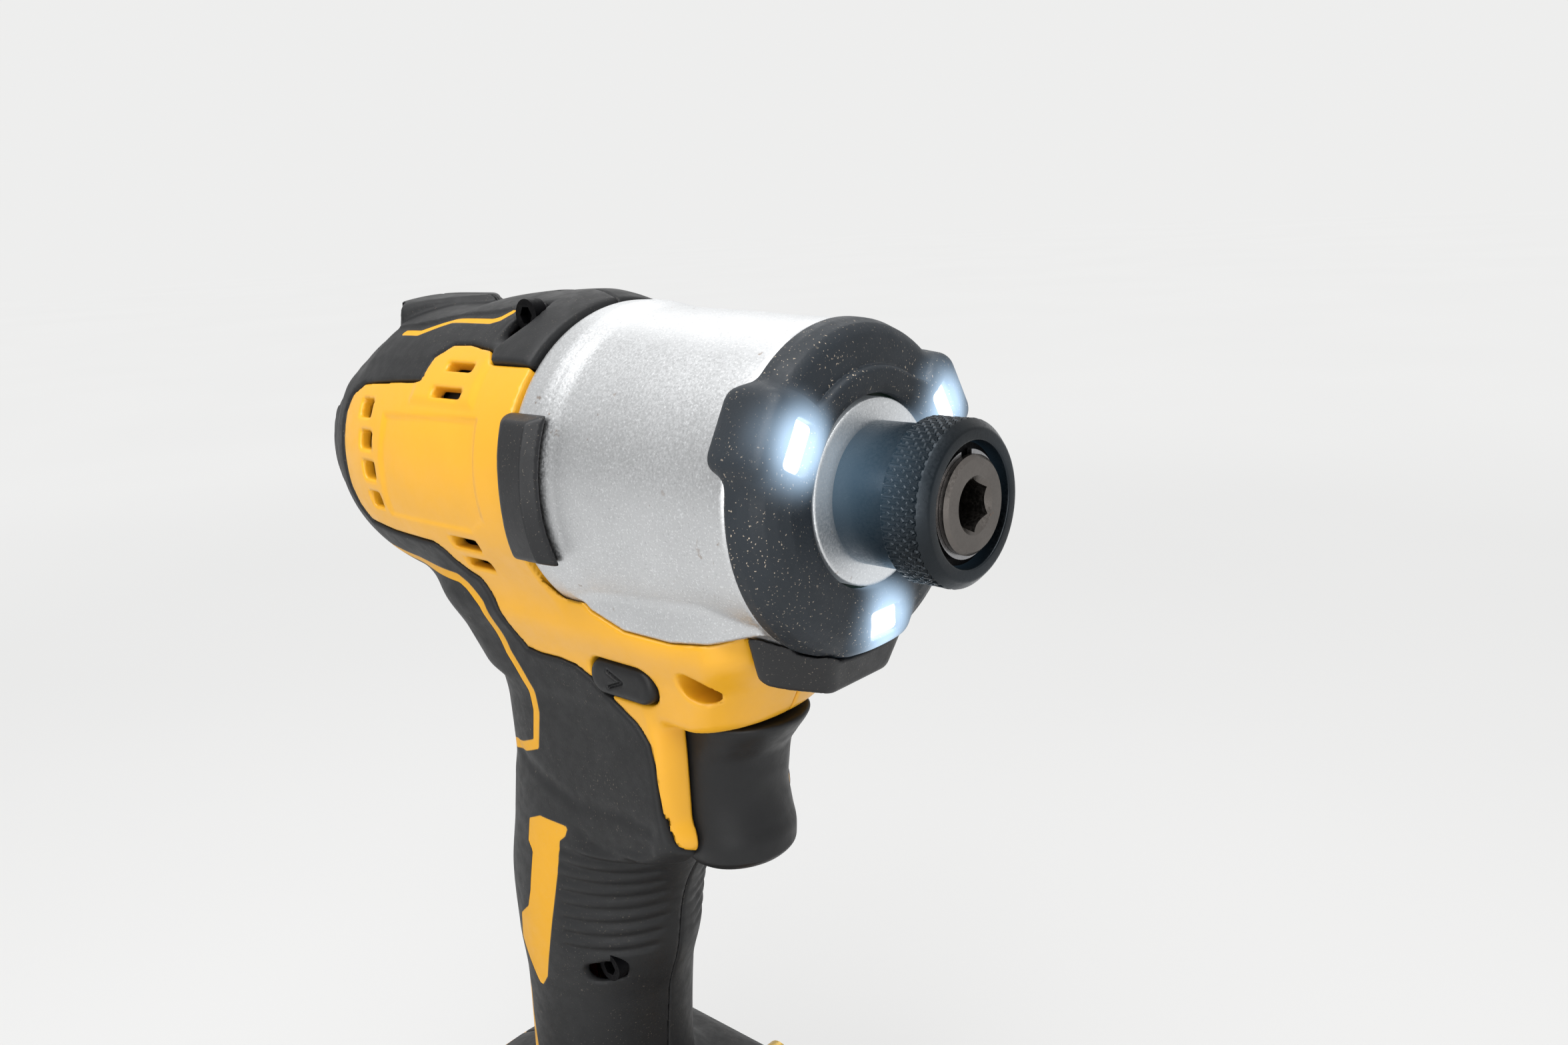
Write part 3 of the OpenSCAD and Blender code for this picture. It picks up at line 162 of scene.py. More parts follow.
def outline(u, v, corners):
    """Distance to a closed outline in a plane."""
    inside = np.zeros(np.shape(u), bool)
    nearest = np.full(np.shape(u), 1e9)
    for (u0, v0), (u1, v1) in zip(corners, corners[1:] + corners[:1]):
        du, dv = u1 - u0, v1 - v0
        t = np.clip(
            ((u - u0) * du + (v - v0) * dv) / max(du * du + dv * dv, 1e-9), 0, 1
        )
        nearest = np.minimum(nearest, (u - u0 - t * du) ** 2 + (v - v0 - t * dv) ** 2)
        if v0 != v1:
            crosses = (v0 > v) != (v1 > v)
            inside ^= crosses & (u < u0 + (v - v0) * du / dv)
    return np.where(inside, -1, 1) * np.sqrt(nearest)


def trail(u, v, points, half):
    """Distance to a line of constant width through points in a plane."""
    nearest = np.full(np.shape(u), 1e9)
    for (u0, v0), (u1, v1) in zip(points, points[1:]):
        du, dv = u1 - u0, v1 - v0
        t = np.clip(((u - u0) * du + (v - v0) * dv) / (du * du + dv * dv), 0, 1)
        nearest = np.minimum(nearest, (u - u0 - t * du) ** 2 + (v - v0 - t * dv) ** 2)
    return np.sqrt(nearest) - half


def slab(value, low, high):
    """Distance to the space between two levels."""
    return np.maximum(low - value, value - high)


def brick(x, y, h, low, high, soft=0.8):
    """A box with rounded edges."""
    d = common(slab(x, low[0], high[0]), slab(y, low[1], high[1]), soft)
    return common(d, slab(h, low[2], high[2]), soft)


def oval(x, y, rear, front, half, rear_end, front_end):
    """Plan with elliptical ends."""
    fit = np.minimum(1, (front - rear) / (rear_end + front_end))
    rear_end, front_end = rear_end * fit, front_end * fit
    ahead = x > front - front_end
    behind = x < rear + rear_end
    along = np.where(
        ahead, x - front + front_end, np.where(behind, x - rear - rear_end, 0)
    )
    end = np.where(ahead, front_end, rear_end)
    u, w = along / end, y / half
    k = np.maximum(np.hypot(u, w), 1e-3)
    return k * (k - 1) / np.maximum(np.hypot(u / end, w / half), 1e-6)


class Loft:
    """A smooth body through rows of height, rear X, front X, half width and the lengths of the two ends."""

    def __init__(self, rows, soft):
        self.top, self.bottom = rows[0][0], rows[-1][0]
        self.curves = [flowing([(r[0], r[i]) for r in rows]) for i in range(1, 6)]
        self.soft = soft

    def plan(self, x, y, h):
        return oval(x, y, *[c(h) for c in self.curves])

    def __call__(self, x, y, h):
        reach = 0.4
        flare = (self.plan(x, y, h + reach) - self.plan(x, y, h - reach)) / (2 * reach)
        d = self.plan(x, y, h) / np.sqrt(1 + flare * flare)
        return common(d, slab(h, self.bottom, self.top), self.soft)


# Housing and overmould

BARREL_CURVE = flowing(
    [
        (TAIL_X, BARREL_R - 12),
        (TAIL_X + 1, BARREL_R - 8.5),
        (TAIL_X + 4.5, BARREL_R - 5),
        (TAIL_X + 9, BARREL_R - 2.8),
        (TAIL_X + 15, BARREL_R - 1.4),
        (TAIL_X + 23, BARREL_R - 0.5),
        (TAIL_X + 35, BARREL_R),
        (CASE_REAR_X + 2, BARREL_R),
    ]
)
KEEL_HALF = 19.3
SADDLE = Loft(
    [
        (-8, -27, 58, KEEL_HALF - 0.1, 19, 6),
        (-22, -26, 58, KEEL_HALF - 0.1, 18, 8),
        (-30, -22, 53, GRIP_HALF + 0.5, 16, 7.5),
        (-37.6, -17, 49, GRIP_HALF - 1.2, 14, 8),
    ],
    2.2,
)
GRIP = Loft(
    [
        (-20, -29, 36, GRIP_HALF + 0.6, 24, 8),
        (-28, -23.5, 37, GRIP_HALF + 0.1, 24, 8),
        (-36, -18, 37.5, GRIP_HALF - 0.5, 24, 4.5),
        (-44, -15.8, 37.7, GRIP_HALF - 0.8, 24, 4),
        (-54, -15.6, 37.6, GRIP_HALF - 0.8, 24, 4.2),
        (-59, -16.2, 39.2, GRIP_HALF - 0.7, 22, 6.5),
        (-62.5, -16.7, 37.5, GRIP_HALF - 0.5, 22, 11),
        (-67, -17.4, 28, GRIP_HALF - 0.3, 22, 18),
        (-79, -19.2, 20.8, GRIP_HALF, 20, 20),
        (-90, -19.3, 18.3, GRIP_HALF - 0.4, 18.8, 18.8),
        (-100, -17.8, 14.8, GRIP_HALF - 0.9, 16.2, 16.2),
        (FOOT_TOP_H + 3, -18.6, 12.4, GRIP_HALF - 0.8, 15.5, 15.5),
        (FOOT_TOP_H, -21, 17, GRIP_HALF + 1.4, 18, 18),
        (FOOT_TOP_H - 4, -30, 30, 25, 22, 22),
        (FOOT_TOP_H - 9, -37, 38, 30, 16, 16),
        (FOOT_H, -38, 39, 31, 14, 14),
    ],
    1.2,
)
# Outline of the bare yellow area: X and depth below the axis, or arc above it
YELLOW_AREA = [
    (90, -19.7), (8.5, -19.8), (6.4, -22.2), (0.6, -23.1), (-4, -22.9), (-7.2, -20.1),
    (-7.8, -15.8), (-26, -14.9), (-29.6, -13.0), (-31, -9.5), (-30.8, 4.5), (-29.9, 8.2),
    (-28, 10.9), (-19.5, 11.6), (-7.4, 11.9), (-5.7, 13), (-4.4, 15), (-2.1, 16.7), (0.3, 17.7),
    (1.8, 20.5), (4.6, 27.5), (6.2, 29.8), (9.8, 30.2), (14.6, 30), (18.5, 30.5), (21.4, 31.8),
    (30.7, 38), (33, 41), (33.6, 44.5), (33.8, 49), (34.1, 52.8), (34.8, 56), (35.7, 59),
    (37.4, 61.4), (90, 62.2),
]
FOOT_BAND = FOOT_H + 9
# Gap between shell and overmould, room round the case and the selector, and overlap at the seam
GAP = 0.1
CASE_PLAY = 0.15
SELECTOR_PLAY = 0.35
SEAM = 0.05
SHELL_WALL = 2.4
SKIN_WALL = 1.5
# Half widths of the pack's rails and of their neck, and the play round them in the foot
RAIL_HALF, RAIL_NECK_HALF, RAIL_PLAY = 22, 18, 0.3
HUB_R = 13.22
# Vents through the barrel: X, arc place, half length and half width
VENTS = [
    (1.2, -18.7, 3.5, 0.8),
    (0.5, -14.1, 3.9, 0.85),
    (2.4, 10.7, 3.7, 1.0),
    (2.9, 14.5, 3.4, 0.85),
    (-22.7, -10.4, 2.0, 1.65),
    (-21.6, -4.8, 2.0, 1.6),
    (-21.0, 0.5, 2.0, 1.55),
    (-20.9, 5.7, 1.8, 1.35),
]
# Sunk panel on the side and raised field round the upper vents: X and arc place
PANEL_FIELD = [(-16, -9.5), (10, -10.5), (10.5, 5.5), (6, 8.0), (-17.5, 8.0)]
VENT_FIELD = [(-9, -24), (8, -24), (8, -12.2), (-9, -12.2)]
# Screws: X and height from the axis
FRONT_SCREW = (47.1, -29.2)
GRIP_SCREW = (12.4, -90.6)
TOP_SCREW = (8.5, 24.67)
# Yellow trim in the overmould: X and depth below the axis, or arc above it
INLAY_LINE = [
    (-30, 17), (-14.4, 18.1), (-6.3, 18.7), (-4.4, 19.9), (-1.5, 22.7), (0.4, 31.8), (4.3, 38.3),
    (4.6, 42), (3.1, 48.6), (-1.8, 50.6), (-24, 57),
]
TOP_INLAY = [
    (-22.4, -25.7), (-17.3, -25.4), (-15.2, -26.4), (-10.9, -28.8), (0.1, -28.6), (1.8, -29.3),
    (3, -31),
]
GRIP_PATCH = [
    (-1.1, 64), (2.6, 62.3), (10.1, 62.1), (9.3, 63.8), (7.7, 65.1), (6.2, 71.9), (-1.2, 95.6),
    (-3, 98), (-4, 98), (-9.6, 91.3), (-7.8, 85.5), (-3.7, 82.1), (-2.2, 78.3), (-0.5, 69.9),
    (-2, 68.4),
]
REAR_STRIP = [(-40, 100), (-11.5, 100.4), (-9.6, 103), (-9.9, 107), (-8.5, 113.3), (-7.5, 118), (-40, 120)]
# Ribs and creases on the sides of the grip: X and depth below the axis
RIB_AREA = [(7, 66.5), (14, 63), (30, 60.5), (25, 68), (21.4, 78), (18.2, 89.5), (3.6, 89.5)]
RIB_PITCH = 2.93
FIRST_RIB = 69.7
GRIP_CREASES = [
    [(-6, 52), (2.2, 54.2), (12.7, 56.8), (23.1, 55.8), (31.1, 56.2)],
    [(13.9, 62.6), (15.5, 63.4), (24, 61.8), (30.5, 60)],
]


def wrap(y, h):
    """Depth below the drive axis, or arc above it, as a place on the side of the barrel."""
    return np.where(
        h > 0, -BARREL_R * np.arctan2(h, np.maximum(np.abs(y), 1e-6)), -h
    )


def barrel(x, y, h):
    """The round body over the motor."""
    side = np.hypot(y, h) - BARREL_CURVE(x)
    return common(side, slab(x, TAIL_X, CASE_REAR_X + 0.5), 1.2)


def body(x, y, h):
    """The whole outer form: barrel, saddle and grip with its foot."""
    d = join(barrel(x, y, h), SADDLE(x, y, h), 3.5)
    return join(d, GRIP(x, y, h), 1.6)


# Radius of the gear case along X
CASE_CURVE = flowing(
    [
        (CASE_REAR_X - 8, 25.4),
        (CASE_REAR_X, 25.5),
        (CASE_REAR_X + 2.6, 25.95),
        (CASE_REAR_X + 5.6, 26.0),
        (CASE_REAR_X + 8.2, 25.6),
        (CASE_REAR_X + 11, 25.05),
        (CASE_REAR_X + 15, 24.85),
        (CASE_REAR_X + 24, 24.55),
        (CASE_REAR_X + 34, 24.05),
        (BOOT_LOW[0] + 2.4, 23.6),
        (BOOT_LOW[0] + 3.5, 22.85),
        (FLANGE_X, 22.7),
    ]
)
# Side of the keel under the case: X and depth below the axis
KEEL_SIDE = [
    (24.2, 6), (24.2, 17), (27, 19.0), (34.2, 21), (44.2, 21), (52.2, 19.8), (60.1, 17.6),
    (60.1, 6),
]


def keel(x, y, h):
    """The keel under the gear case, narrower toward its front."""
    half = KEEL_HALF - 2.2 * step_up(x, 50, 60.5)
    return common(outline(x, -h, KEEL_SIDE), np.abs(y) - half, 0.9)


def case_shell(x, y, h):
    """Outside of the gear case with its keel and its front hub."""
    r = np.hypot(y, h)
    front = FLANGE_X - 3.4
    d = common(r - CASE_CURVE(x), slab(x, CASE_REAR_X, front), 2.2)
    d = join(d, keel(x, y, h), 0.8)
    hub = common(r - HUB_R, slab(x, front - 4, FLANGE_X), 0.5)
    return np.minimum(d, hub)


def case_field(x, y, h):
    """The gear case with its inner room and the bore of its hub."""
    r = np.hypot(y, h)
    inner = np.where(x > FLANGE_X - 14, 11.0, 20.2)
    room = np.maximum(r - inner, x - FLANGE_X + 1)
    bore = np.maximum(r - 8.2, FLANGE_X - 20 - x)
    return cut(case_shell(x, y, h), np.minimum(room, bore), 0.5)


def case_room(x, y, h):
    """The case as the housing has to clear it."""
    r = np.hypot(y, h)
    round_part = np.maximum(r - CASE_CURVE(x), CASE_REAR_X - x)
    spigot = np.maximum(r - 23, CASE_REAR_X - 6 - x)
    return np.minimum(np.minimum(round_part, keel(x, y, h)), spigot)


def grip_ribs(x, h):
    """Depth of the ribs and of the crease on the sides of the grip."""
    area = outline(x, -h, RIB_AREA)
    wave = 0.5 + 0.5 * np.cos(2 * math.pi * (-h - FIRST_RIB) / RIB_PITCH)
    depth = 0.45 * wave**1.5 * step_up(-area, 0, 1.6)
    for line, sink in zip(GRIP_CREASES, (0.5, 0.6)):
        crease = np.maximum(trail(x, -h, line, 0), 0)
        depth = depth + sink * np.exp(-((crease / 1.3) ** 2))
    return depth


def rise_angle(y, h):
    """Angle above the horizontal, in degrees."""
    return np.degrees(np.arctan2(h, np.maximum(np.abs(y), 1e-6)))


# Lift of the raised bands over the barrel along X, on the side and on the crest
SIDE_BAND = flowing(
    [(-40, 0.2), (7, 0.1), (8.4, 0.5), (13, 0.65), (16, 0.5), (CASE_REAR_X - 0.3, 0)]
)
CREST_BAND = flowing(
    [
        (-40, 0), (-20, -0.1), (-14.5, -0.8), (-11.7, -0.85), (-8.9, -0.05), (-1.3, 0.8),
        (8.2, 1.4), (12, 1.5), (14.5, 1.15), (16.5, 0.5),
        (CASE_REAR_X - 0.3, 0),
    ]
)
# Angle at which the raised rear of the top begins, along X
LEDGE = flowing([(-28, 60), (-21.7, 58.8), (-16, 61.3), (-11.8, 65.4), (-1.1, 67), (4, 70.5)])


def top_lift(x, y, h):
    """Height of the raised bands on top of the barrel."""
    arc = rise_angle(y, h)
    crest = step_up(arc, 56, 84)
    side = SIDE_BAND(x) * step_up(arc, 40, 45)
    taper = 1.1 * window(x, TAIL_X + 2, TAIL_X + 13, 5) * step_up(arc, 32, 50)
    ledge = 0.55 * step_up(arc - LEDGE(x), 0, 1.6) * window(x, TAIL_X + 15.5, 3, 1.6)
    return side * (1 - crest) + CREST_BAND(x) * crest + ledge * (1 - 0.6 * crest) - taper


# Pad on top of the tail: height of its lid and foot, its rear end, the tip of its front and its notch
PAD_LID_H, PAD_FOOT_H = 26.8, 16
PAD_REAR_X, PAD_TIP_X = TAIL_X + 10.4, TAIL_X + 28.5
PAD_NOTCH_X, PAD_NOTCH_H, PAD_NOTCH_R = TAIL_X + 12, 24.2, 1.5


def top_pad(x, y, h):
    """The raised pad on top of the tail, with a flat lid, sloping flanks and a blunt rear end."""
    wide = np.abs(y)
    lid = h - PAD_LID_H + 0.0094 * y * y
    flank = 0.716 * wide + 0.698 * h - 25.1 + 0.05 * (x - TAIL_X - 16)
    rear = PAD_REAR_X + 1.1 * np.maximum(wide - 8, 0) - x
    front = x - PAD_TIP_X + 1.3 * wide
    d = common(lid, flank, 1.4)
    d = common(common(d, 0.7 * rear, 0.9), 0.5 * front, 1.2)
    d = np.maximum(d, PAD_FOOT_H - h)
    hole = np.hypot(x - PAD_NOTCH_X, h - PAD_NOTCH_H) - PAD_NOTCH_R
    return cut(d, np.maximum(hole, 7.5 - wide), 0.5)


# Section of the cap on the tail: radius and X
TAIL_CAP = [(8, TAIL_X + 3), (8, TAIL_X - 0.9), (17, TAIL_X - 0.9), (19, TAIL_X + 0.6), (20, TAIL_X + 3.6)]


def tail_bump(x, y, h):
    """The cap that stands out at the rear of the tail."""
    section = outline(np.hypot(y, h), x, TAIL_CAP) - 0.6
    return common(section, 0.28 * slab(rise_angle(y, h), -34, 26), 1.0)


# Wells over the screw heads: screw, two ends of the well from the screw, half width
# and floor's distance from Y 0
SCREW_WELLS = [
    (FRONT_SCREW, (-1.9, 0.9), (-0.1, 0.5), 2.3, 6.5),
    (GRIP_SCREW, (-2.6, -1.7), (-0.2, -1.0), 2.0, 6.5),
    (TOP_SCREW, (-1.4, -1.9), (0.3, 0), 2.1, 7.5),
]


def screw_wells(x, y, h):
    """Wells for the screw heads, on the right side."""
    wells = []
    for (px, ph), (x0, h0), (x1, h1), half, floor in SCREW_WELLS:
        well = trail(x, h, [(px + x0, ph + h0), (px + x1, ph + h1)], half)
        wells.append(np.maximum(well, y + floor))
    return np.minimum.reduce(wells)


def shell_openings(x, y, h, side):
    """Openings that the housing and overmould share: vents, selector, trigger room and screw wells."""
    v = wrap(y, h)
    slots = [
        common(np.abs(x - px) - length, np.abs(v - pv) - half, 0.8)
        for px, pv, length, half in VENTS
    ]
    slot = np.maximum(np.minimum.reduce(slots), 10 - np.abs(y))
    low, high = SELECTOR_LOW, SELECTOR_HIGH
    rise = (high[2] - low[2]) / 2 + SELECTOR_PLAY
    mid = (high[2] + low[2]) / 2 - DRIVE_Z
    ends = [(low[0] + rise - SELECTOR_PLAY, mid), (high[0] - rise + SELECTOR_PLAY, mid)]
    key = trail(x, h, ends, rise)
    room = np.maximum(
        np.maximum(np.abs(y) - (TRIGGER_HIGH[1] + 0.4), TRIGGER_LOW[0] + 3.2 - x),
        slab(h, TRIGGER_LOW[2] - DRIVE_Z - 0.9, TRIGGER_HIGH[2] - DRIVE_Z + 0.3),
    )
    d = np.minimum(np.minimum(slot, key), room)
    return np.minimum(d, screw_wells(x, y, h)) if side < 0 else d


def rail_room(x, y, h):
    """The grooves in the foot that the pack's rails slide in."""
    rear, half, neck_half = -30.3, RAIL_HALF + RAIL_PLAY, RAIL_NECK_HALF + RAIL_PLAY
    wide = brick(x, y, h, (rear, -half, FOOT_H + 3), (90, half, FOOT_H + 9.5), 0.3)
    neck = brick(x, y, h, (rear, -neck_half, FOOT_H - 5), (90, neck_half, FOOT_H + 8.5), 0.3)
    return np.minimum(wide, neck)


def yellow_area(x, y, h):
    """Negative where the yellow shell is bare."""
    d = outline(x, wrap(y, h), YELLOW_AREA)
    return np.minimum(d, h - FOOT_BAND)


def housing_field(x, y, h, side):
    """One half of the yellow shell."""
    whole = body(x, y, h)
    v = wrap(y, h)
    sunk = step_up(-outline(x, v, PANEL_FIELD), -0.5, 0.7)
    raised = step_up(-outline(x, v, VENT_FIELD), -0.8, 1.2) * (h > 0)
    skin = whole + 0.4 * sunk - 0.35 * raised
    hollow = common(whole + SHELL_WALL, x - 20, 1)
    hollow = common(hollow, FOOT_BAND + 3.5 - h, 1)
    d = cut(skin, hollow, 0.6)
    d = common(d, yellow_area(x, y, h) + GAP, 0.5)
    d = cut(d, case_room(x, y, h) - CASE_PLAY, 0.5)
    d = cut(d, np.maximum(NOSE_X - 28.1 - x, h), 0.6)
    d = cut(d, shell_openings(x, y, h, side), 0.6)
    d = cut(d, rail_room(x, y, h), 0.4)
    return common(d, SEAM - side * y, 0.5)


def overmould_field(x, y, h, side):
    """The soft grip, tail and top on one half."""
    whole = body(x, y, h)
    outer = whole - 0.2 - top_lift(x, y, h) + grip_ribs(x, h)
    outer = join(outer, tail_bump(x, y, h), 1.6)
    outer = join(outer, top_pad(x, y, h), 0.8)
    d = cut(outer, whole + SKIN_WALL, 0.3)
    d = common(d, GAP - yellow_area(x, y, h), 0.9)
    d = cut(d, case_room(x, y, h) - CASE_PLAY, 0.6)
    d = common(d, np.minimum(x - CASE_REAR_X + 0.3, h + 6), 0.9)
    d = cut(d, shell_openings(x, y, h, side), 0.7)
    return common(d, SEAM - side * y, 0.5)


def trim_field(x, y, h):
    """Negative where yellow trim shows in the overmould."""
    v = wrap(y, h)
    line = trail(x, v, INLAY_LINE, 0.9)
    top = np.where(h > 0, trail(x, v, TOP_INLAY, 0.65), 9)
    patch = outline(x, v, GRIP_PATCH) - 0.2
    rear = outline(x, v, REAR_STRIP)
    return np.minimum(np.minimum(line, top), np.minimum(patch, rear))


# Meshes from fields

CORNERS = np.array([(i, j, k) for i in (0, 1) for j in (0, 1) for k in (0, 1)])
EDGES = [
    (a, b)
    for a in range(8)
    for b in range(a + 1, 8)
    if np.abs(CORNERS[a] - CORNERS[b]).sum() == 1
]
BLOCK = 4
CHUNK = 500_000


def sample(field, points):
    """Field values at many points, a chunk at a time."""
    parts = [
        field(*points[i : i + CHUNK].T) for i in range(0, len(points), CHUNK)
    ]
    return np.concatenate(parts)


def slope_of(field, points, reach):
    """Unit normals of a field, and its steepness."""
    taps = np.array([(1, 1, 1), (1, -1, -1), (-1, 1, -1), (-1, -1, 1)])
    total = sum(tap * sample(field, points + reach * tap)[:, None] for tap in taps)
    size = np.linalg.norm(total, axis=1, keepdims=True)
    return total / np.maximum(size, 1e-9), size[:, 0] / (4 * reach)


def grown(blocks):
    """Each block's value repeated on all its cells."""
    return blocks.repeat(BLOCK, 0).repeat(BLOCK, 1).repeat(BLOCK, 2)


def shifted(grid, corner, size):
    """The part of a grid that lies at one corner of its cells."""
    return grid[tuple(slice(c, c + s) for c, s in zip(corner, size))]


def net(field, low, high, step):
    """Vertices, normals and quads over the zero surface of a field."""
    low, high = np.array(low, float) - step, np.array(high, float) + step
    blocks = np.ceil((high - low) / (step * BLOCK)).astype(int)
    middles = [low[i] + (np.arange(blocks[i]) + 0.5) * step * BLOCK for i in range(3)]
    coarse = np.stack(np.meshgrid(*middles, indexing="ij"), -1).reshape(-1, 3)
    rough = sample(field, coarse).reshape(blocks)
    core = grown(np.abs(rough) < step * (BLOCK * 1.35 + 1))
    size = core.shape
    far = grown(np.where(rough < 0, -9.0, 9.0).astype(np.float32))
    value = np.pad(far, ((0, 1),) * 3, mode="edge")
    live = np.zeros(value.shape, bool)
    for corner in CORNERS:
        part = shifted(live, corner, size)
        part |= core
    value[live] = sample(field, low + np.argwhere(live) * step)
    inside = value < 0
    count = sum(shifted(inside, corner, size).astype(np.uint8) for corner in CORNERS)
    cells = np.argwhere((count > 0) & (count < 8))
    ids = np.full(size, -1, np.int64)
    ids[tuple(cells.T)] = np.arange(len(cells))
    at = [value[tuple((cells + c).T)].astype(float) for c in CORNERS]
    total, hits = np.zeros((len(cells), 3)), np.zeros(len(cells))
    for a, b in EDGES:
        crossed = (at[a] < 0) != (at[b] < 0)
        t = np.where(crossed, at[a] / np.where(crossed, at[a] - at[b], 1), 0)
        place = CORNERS[a] + t[:, None] * (CORNERS[b] - CORNERS[a])
        total += np.where(crossed[:, None], place, 0)
        hits += crossed
    points = low + (cells + total / hits[:, None]) * step
    most = 0.4 * step
    for _ in range(2):
        normal, steep = slope_of(field, points, 0.25 * step)
        away = np.clip(sample(field, points) / np.maximum(steep, 0.3), -most, most)
        points = points - away[:, None] * normal
    normal, _ = slope_of(field, points, 0.3 * step)
    return points, normal, net_quads(inside, ids)


def net_quads(inside, ids):
    """One quad round each grid edge that crosses the surface."""
    quads = []
    for a in range(3):
        b, c = (a + 1) % 3, (a + 2) % 3
        turned = np.transpose(inside, (a, b, c))
        here, there = turned[:-1, 1:-1, 1:-1], turned[1:, 1:-1, 1:-1]
        place = np.argwhere(here != there)
        flip = there[tuple(place.T)]
        ring = []
        for ob, oc in ((0, 0), (1, 0), (1, 1), (0, 1)):
            cell = np.empty_like(place)
            cell[:, a], cell[:, b], cell[:, c] = place[:, 0], place[:, 1] + ob, place[:, 2] + oc
            ring.append(ids[tuple(cell.T)])
        ring = np.stack(ring, 1)
        ring[flip] = ring[flip][:, ::-1]
        quads.append(ring)
    quads = np.concatenate(quads)
    return quads[(quads >= 0).all(1)]


def make_object(name, points, faces, normals=None):
    """A mesh object from points in millimetres with heights from the drive axis."""
    mesh = bpy.data.meshes.new(name)
    placed = (points + np.array((0, 0, DRIVE_Z))) * MM
    mesh.from_pydata(placed.tolist(), [], faces)
    mesh.polygons.foreach_set("use_smooth", np.ones(len(mesh.polygons), bool))
    if normals is not None:
        mesh.normals_split_custom_set_from_vertices(normals.tolist())
    mesh.update()
    obj = bpy.data.objects.new(name, mesh)
    bpy.context.scene.collection.objects.link(obj)
    return obj


def moulded(name, field, low, high, step):
    """A piece whose surface is a field's zero surface."""
    points, normals, quads = net(field, low, high, step)
    if not len(quads):
        raise RuntimeError(f"{name} came out empty")
    return make_object(name, points, quads.tolist(), normals), points


def lathe(profile, turns):
    """A piece turned about the drive axis from pairs of X and radius."""
    angle = 2 * math.pi * np.arange(turns) / turns
    profile = np.array(profile, float)
    x = np.repeat(profile[:, 0], turns)
    r = np.repeat(profile[:, 1], turns)
    a = np.tile(angle, len(profile))
    points = np.stack([x, r * np.cos(a), r * np.sin(a)], 1)
    faces = []
    for i in range(len(profile)):
        n = (i + 1) % len(profile)
        for j in range(turns):
            k = (j + 1) % turns
            faces.append((i * turns + j, i * turns + k, n * turns + k, n * turns + j))
    return points, faces


def rounded(profile, radius, steps=3):
    """A closed profile with its corners rounded."""
    profile = [np.array(p, float) for p in profile]
    result = []
    neighbours = zip(profile[-1:] + profile[:-1], profile, profile[1:] + profile[:1])
    for before, corner, after in neighbours:
        a, b = before - corner, after - corner
        reach = min(radius, 0.45 * np.linalg.norm(a), 0.45 * np.linalg.norm(b))
        start, end = (corner + side / np.linalg.norm(side) * reach for side in (a, b))
        for i in range(steps + 1):
            t = i / steps
            result.append(start * (1 - t) ** 2 + 2 * corner * t * (1 - t) + end * t * t)
    return [tuple(p) for p in result]


# Nose

BOOT_FRONT = BOOT_HIGH[0]
LENS_REAR, LENS_FRONT = LENS_LOW[0], LENS_HIGH[0]
LAMP_IN, LAMP_OUT, LAMP_HALF = 16.7, 20.7, 3.42
POD_REACH = (22.0, 25.05, 25.05)


def lamp_frame(y, h, turn):
    """Sideways and outward places of a lamp that sits at an angle from straight down."""
    a = math.radians(turn)
    return y * math.cos(a) + h * math.sin(a), y * math.sin(a) - h * math.cos(a)


def lamp_block(x, y, h, turn, rear, front, play=0.0):
    """Block in the place of one lamp window, grown by some play."""
    side, out = lamp_frame(y, h, turn)
    low = (rear, -LAMP_HALF - play, LAMP_IN - play)
    high = (front, LAMP_HALF + play, LAMP_OUT + play)
    return brick(x, side, out, low, high, 0.9)


BOOT_ROUND = 0.7
# Section of the boot's ring: radius and X
BOOT_SECTION = [
    (14.4, BOOT_LOW[0] + 3.9),
    (14.4, BOOT_FRONT - BOOT_ROUND - 0.3),
    (15.0, BOOT_FRONT - BOOT_ROUND),
    (18.4, BOOT_FRONT - BOOT_ROUND),
    (20.2, BOOT_FRONT - 1.15),
    (21.6, BOOT_FRONT - 2.0),
    (22.6, BOOT_FRONT - 3.2),
    (23.2, BOOT_FRONT - 4.8),
    (23.3, BOOT_LOW[0] + 3.9),
]
# The sunk crown between the upper lamps, from this radius out and up to this angle from the top
CROWN_R, CROWN_ANGLE = 17.6, 43
POD_HALF = 5.9
BOOT_BORE_R, BOARD_ROOM_R = 13.3, 20.6


def boot_field(x, y, h):
    """The rubber boot round the nose with its three lamp pods."""
    r = np.hypot(y, h)
    d = outline(r, x, BOOT_SECTION) - BOOT_ROUND
    angle = np.degrees(np.arctan2(np.abs(y), h))
    floor = BOOT_FRONT - 1.25 - 0.1 * (r - CROWN_R)
    crown = np.maximum(np.maximum(CROWN_R - r, floor - x), (angle - CROWN_ANGLE) * 0.36)
    d = cut(d, crown, 1.0)
    for turn, reach in zip(LAMP_TURNS, POD_REACH):
        side, out = lamp_frame(y, h, turn)
        high = (BOOT_FRONT - 0.15, POD_HALF, reach)
        pod = brick(x, side, out, (BOOT_LOW[0], -POD_HALF, 15), high, 2.2)
        d = join(d, pod, 2.6)
    d = np.maximum(d, BOOT_BORE_R - r)
    d = cut(d, case_shell(x, y, h) - 0.12, 0.3)
    d = cut(d, np.maximum(r - BOARD_ROOM_R, x - BOOT_FRONT + 2.25), 0.3)
    for turn in LAMP_TURNS:
        d = cut(d, lamp_block(x, y, h, turn, 60, 90, 0.1), 0.5)
    return d


def lens_field(x, y, h):
    """The three lamp windows."""
    lenses = [lamp_block(x, y, h, turn, LENS_REAR, LENS_FRONT) for turn in LAMP_TURNS]
    return np.minimum.reduce(lenses)


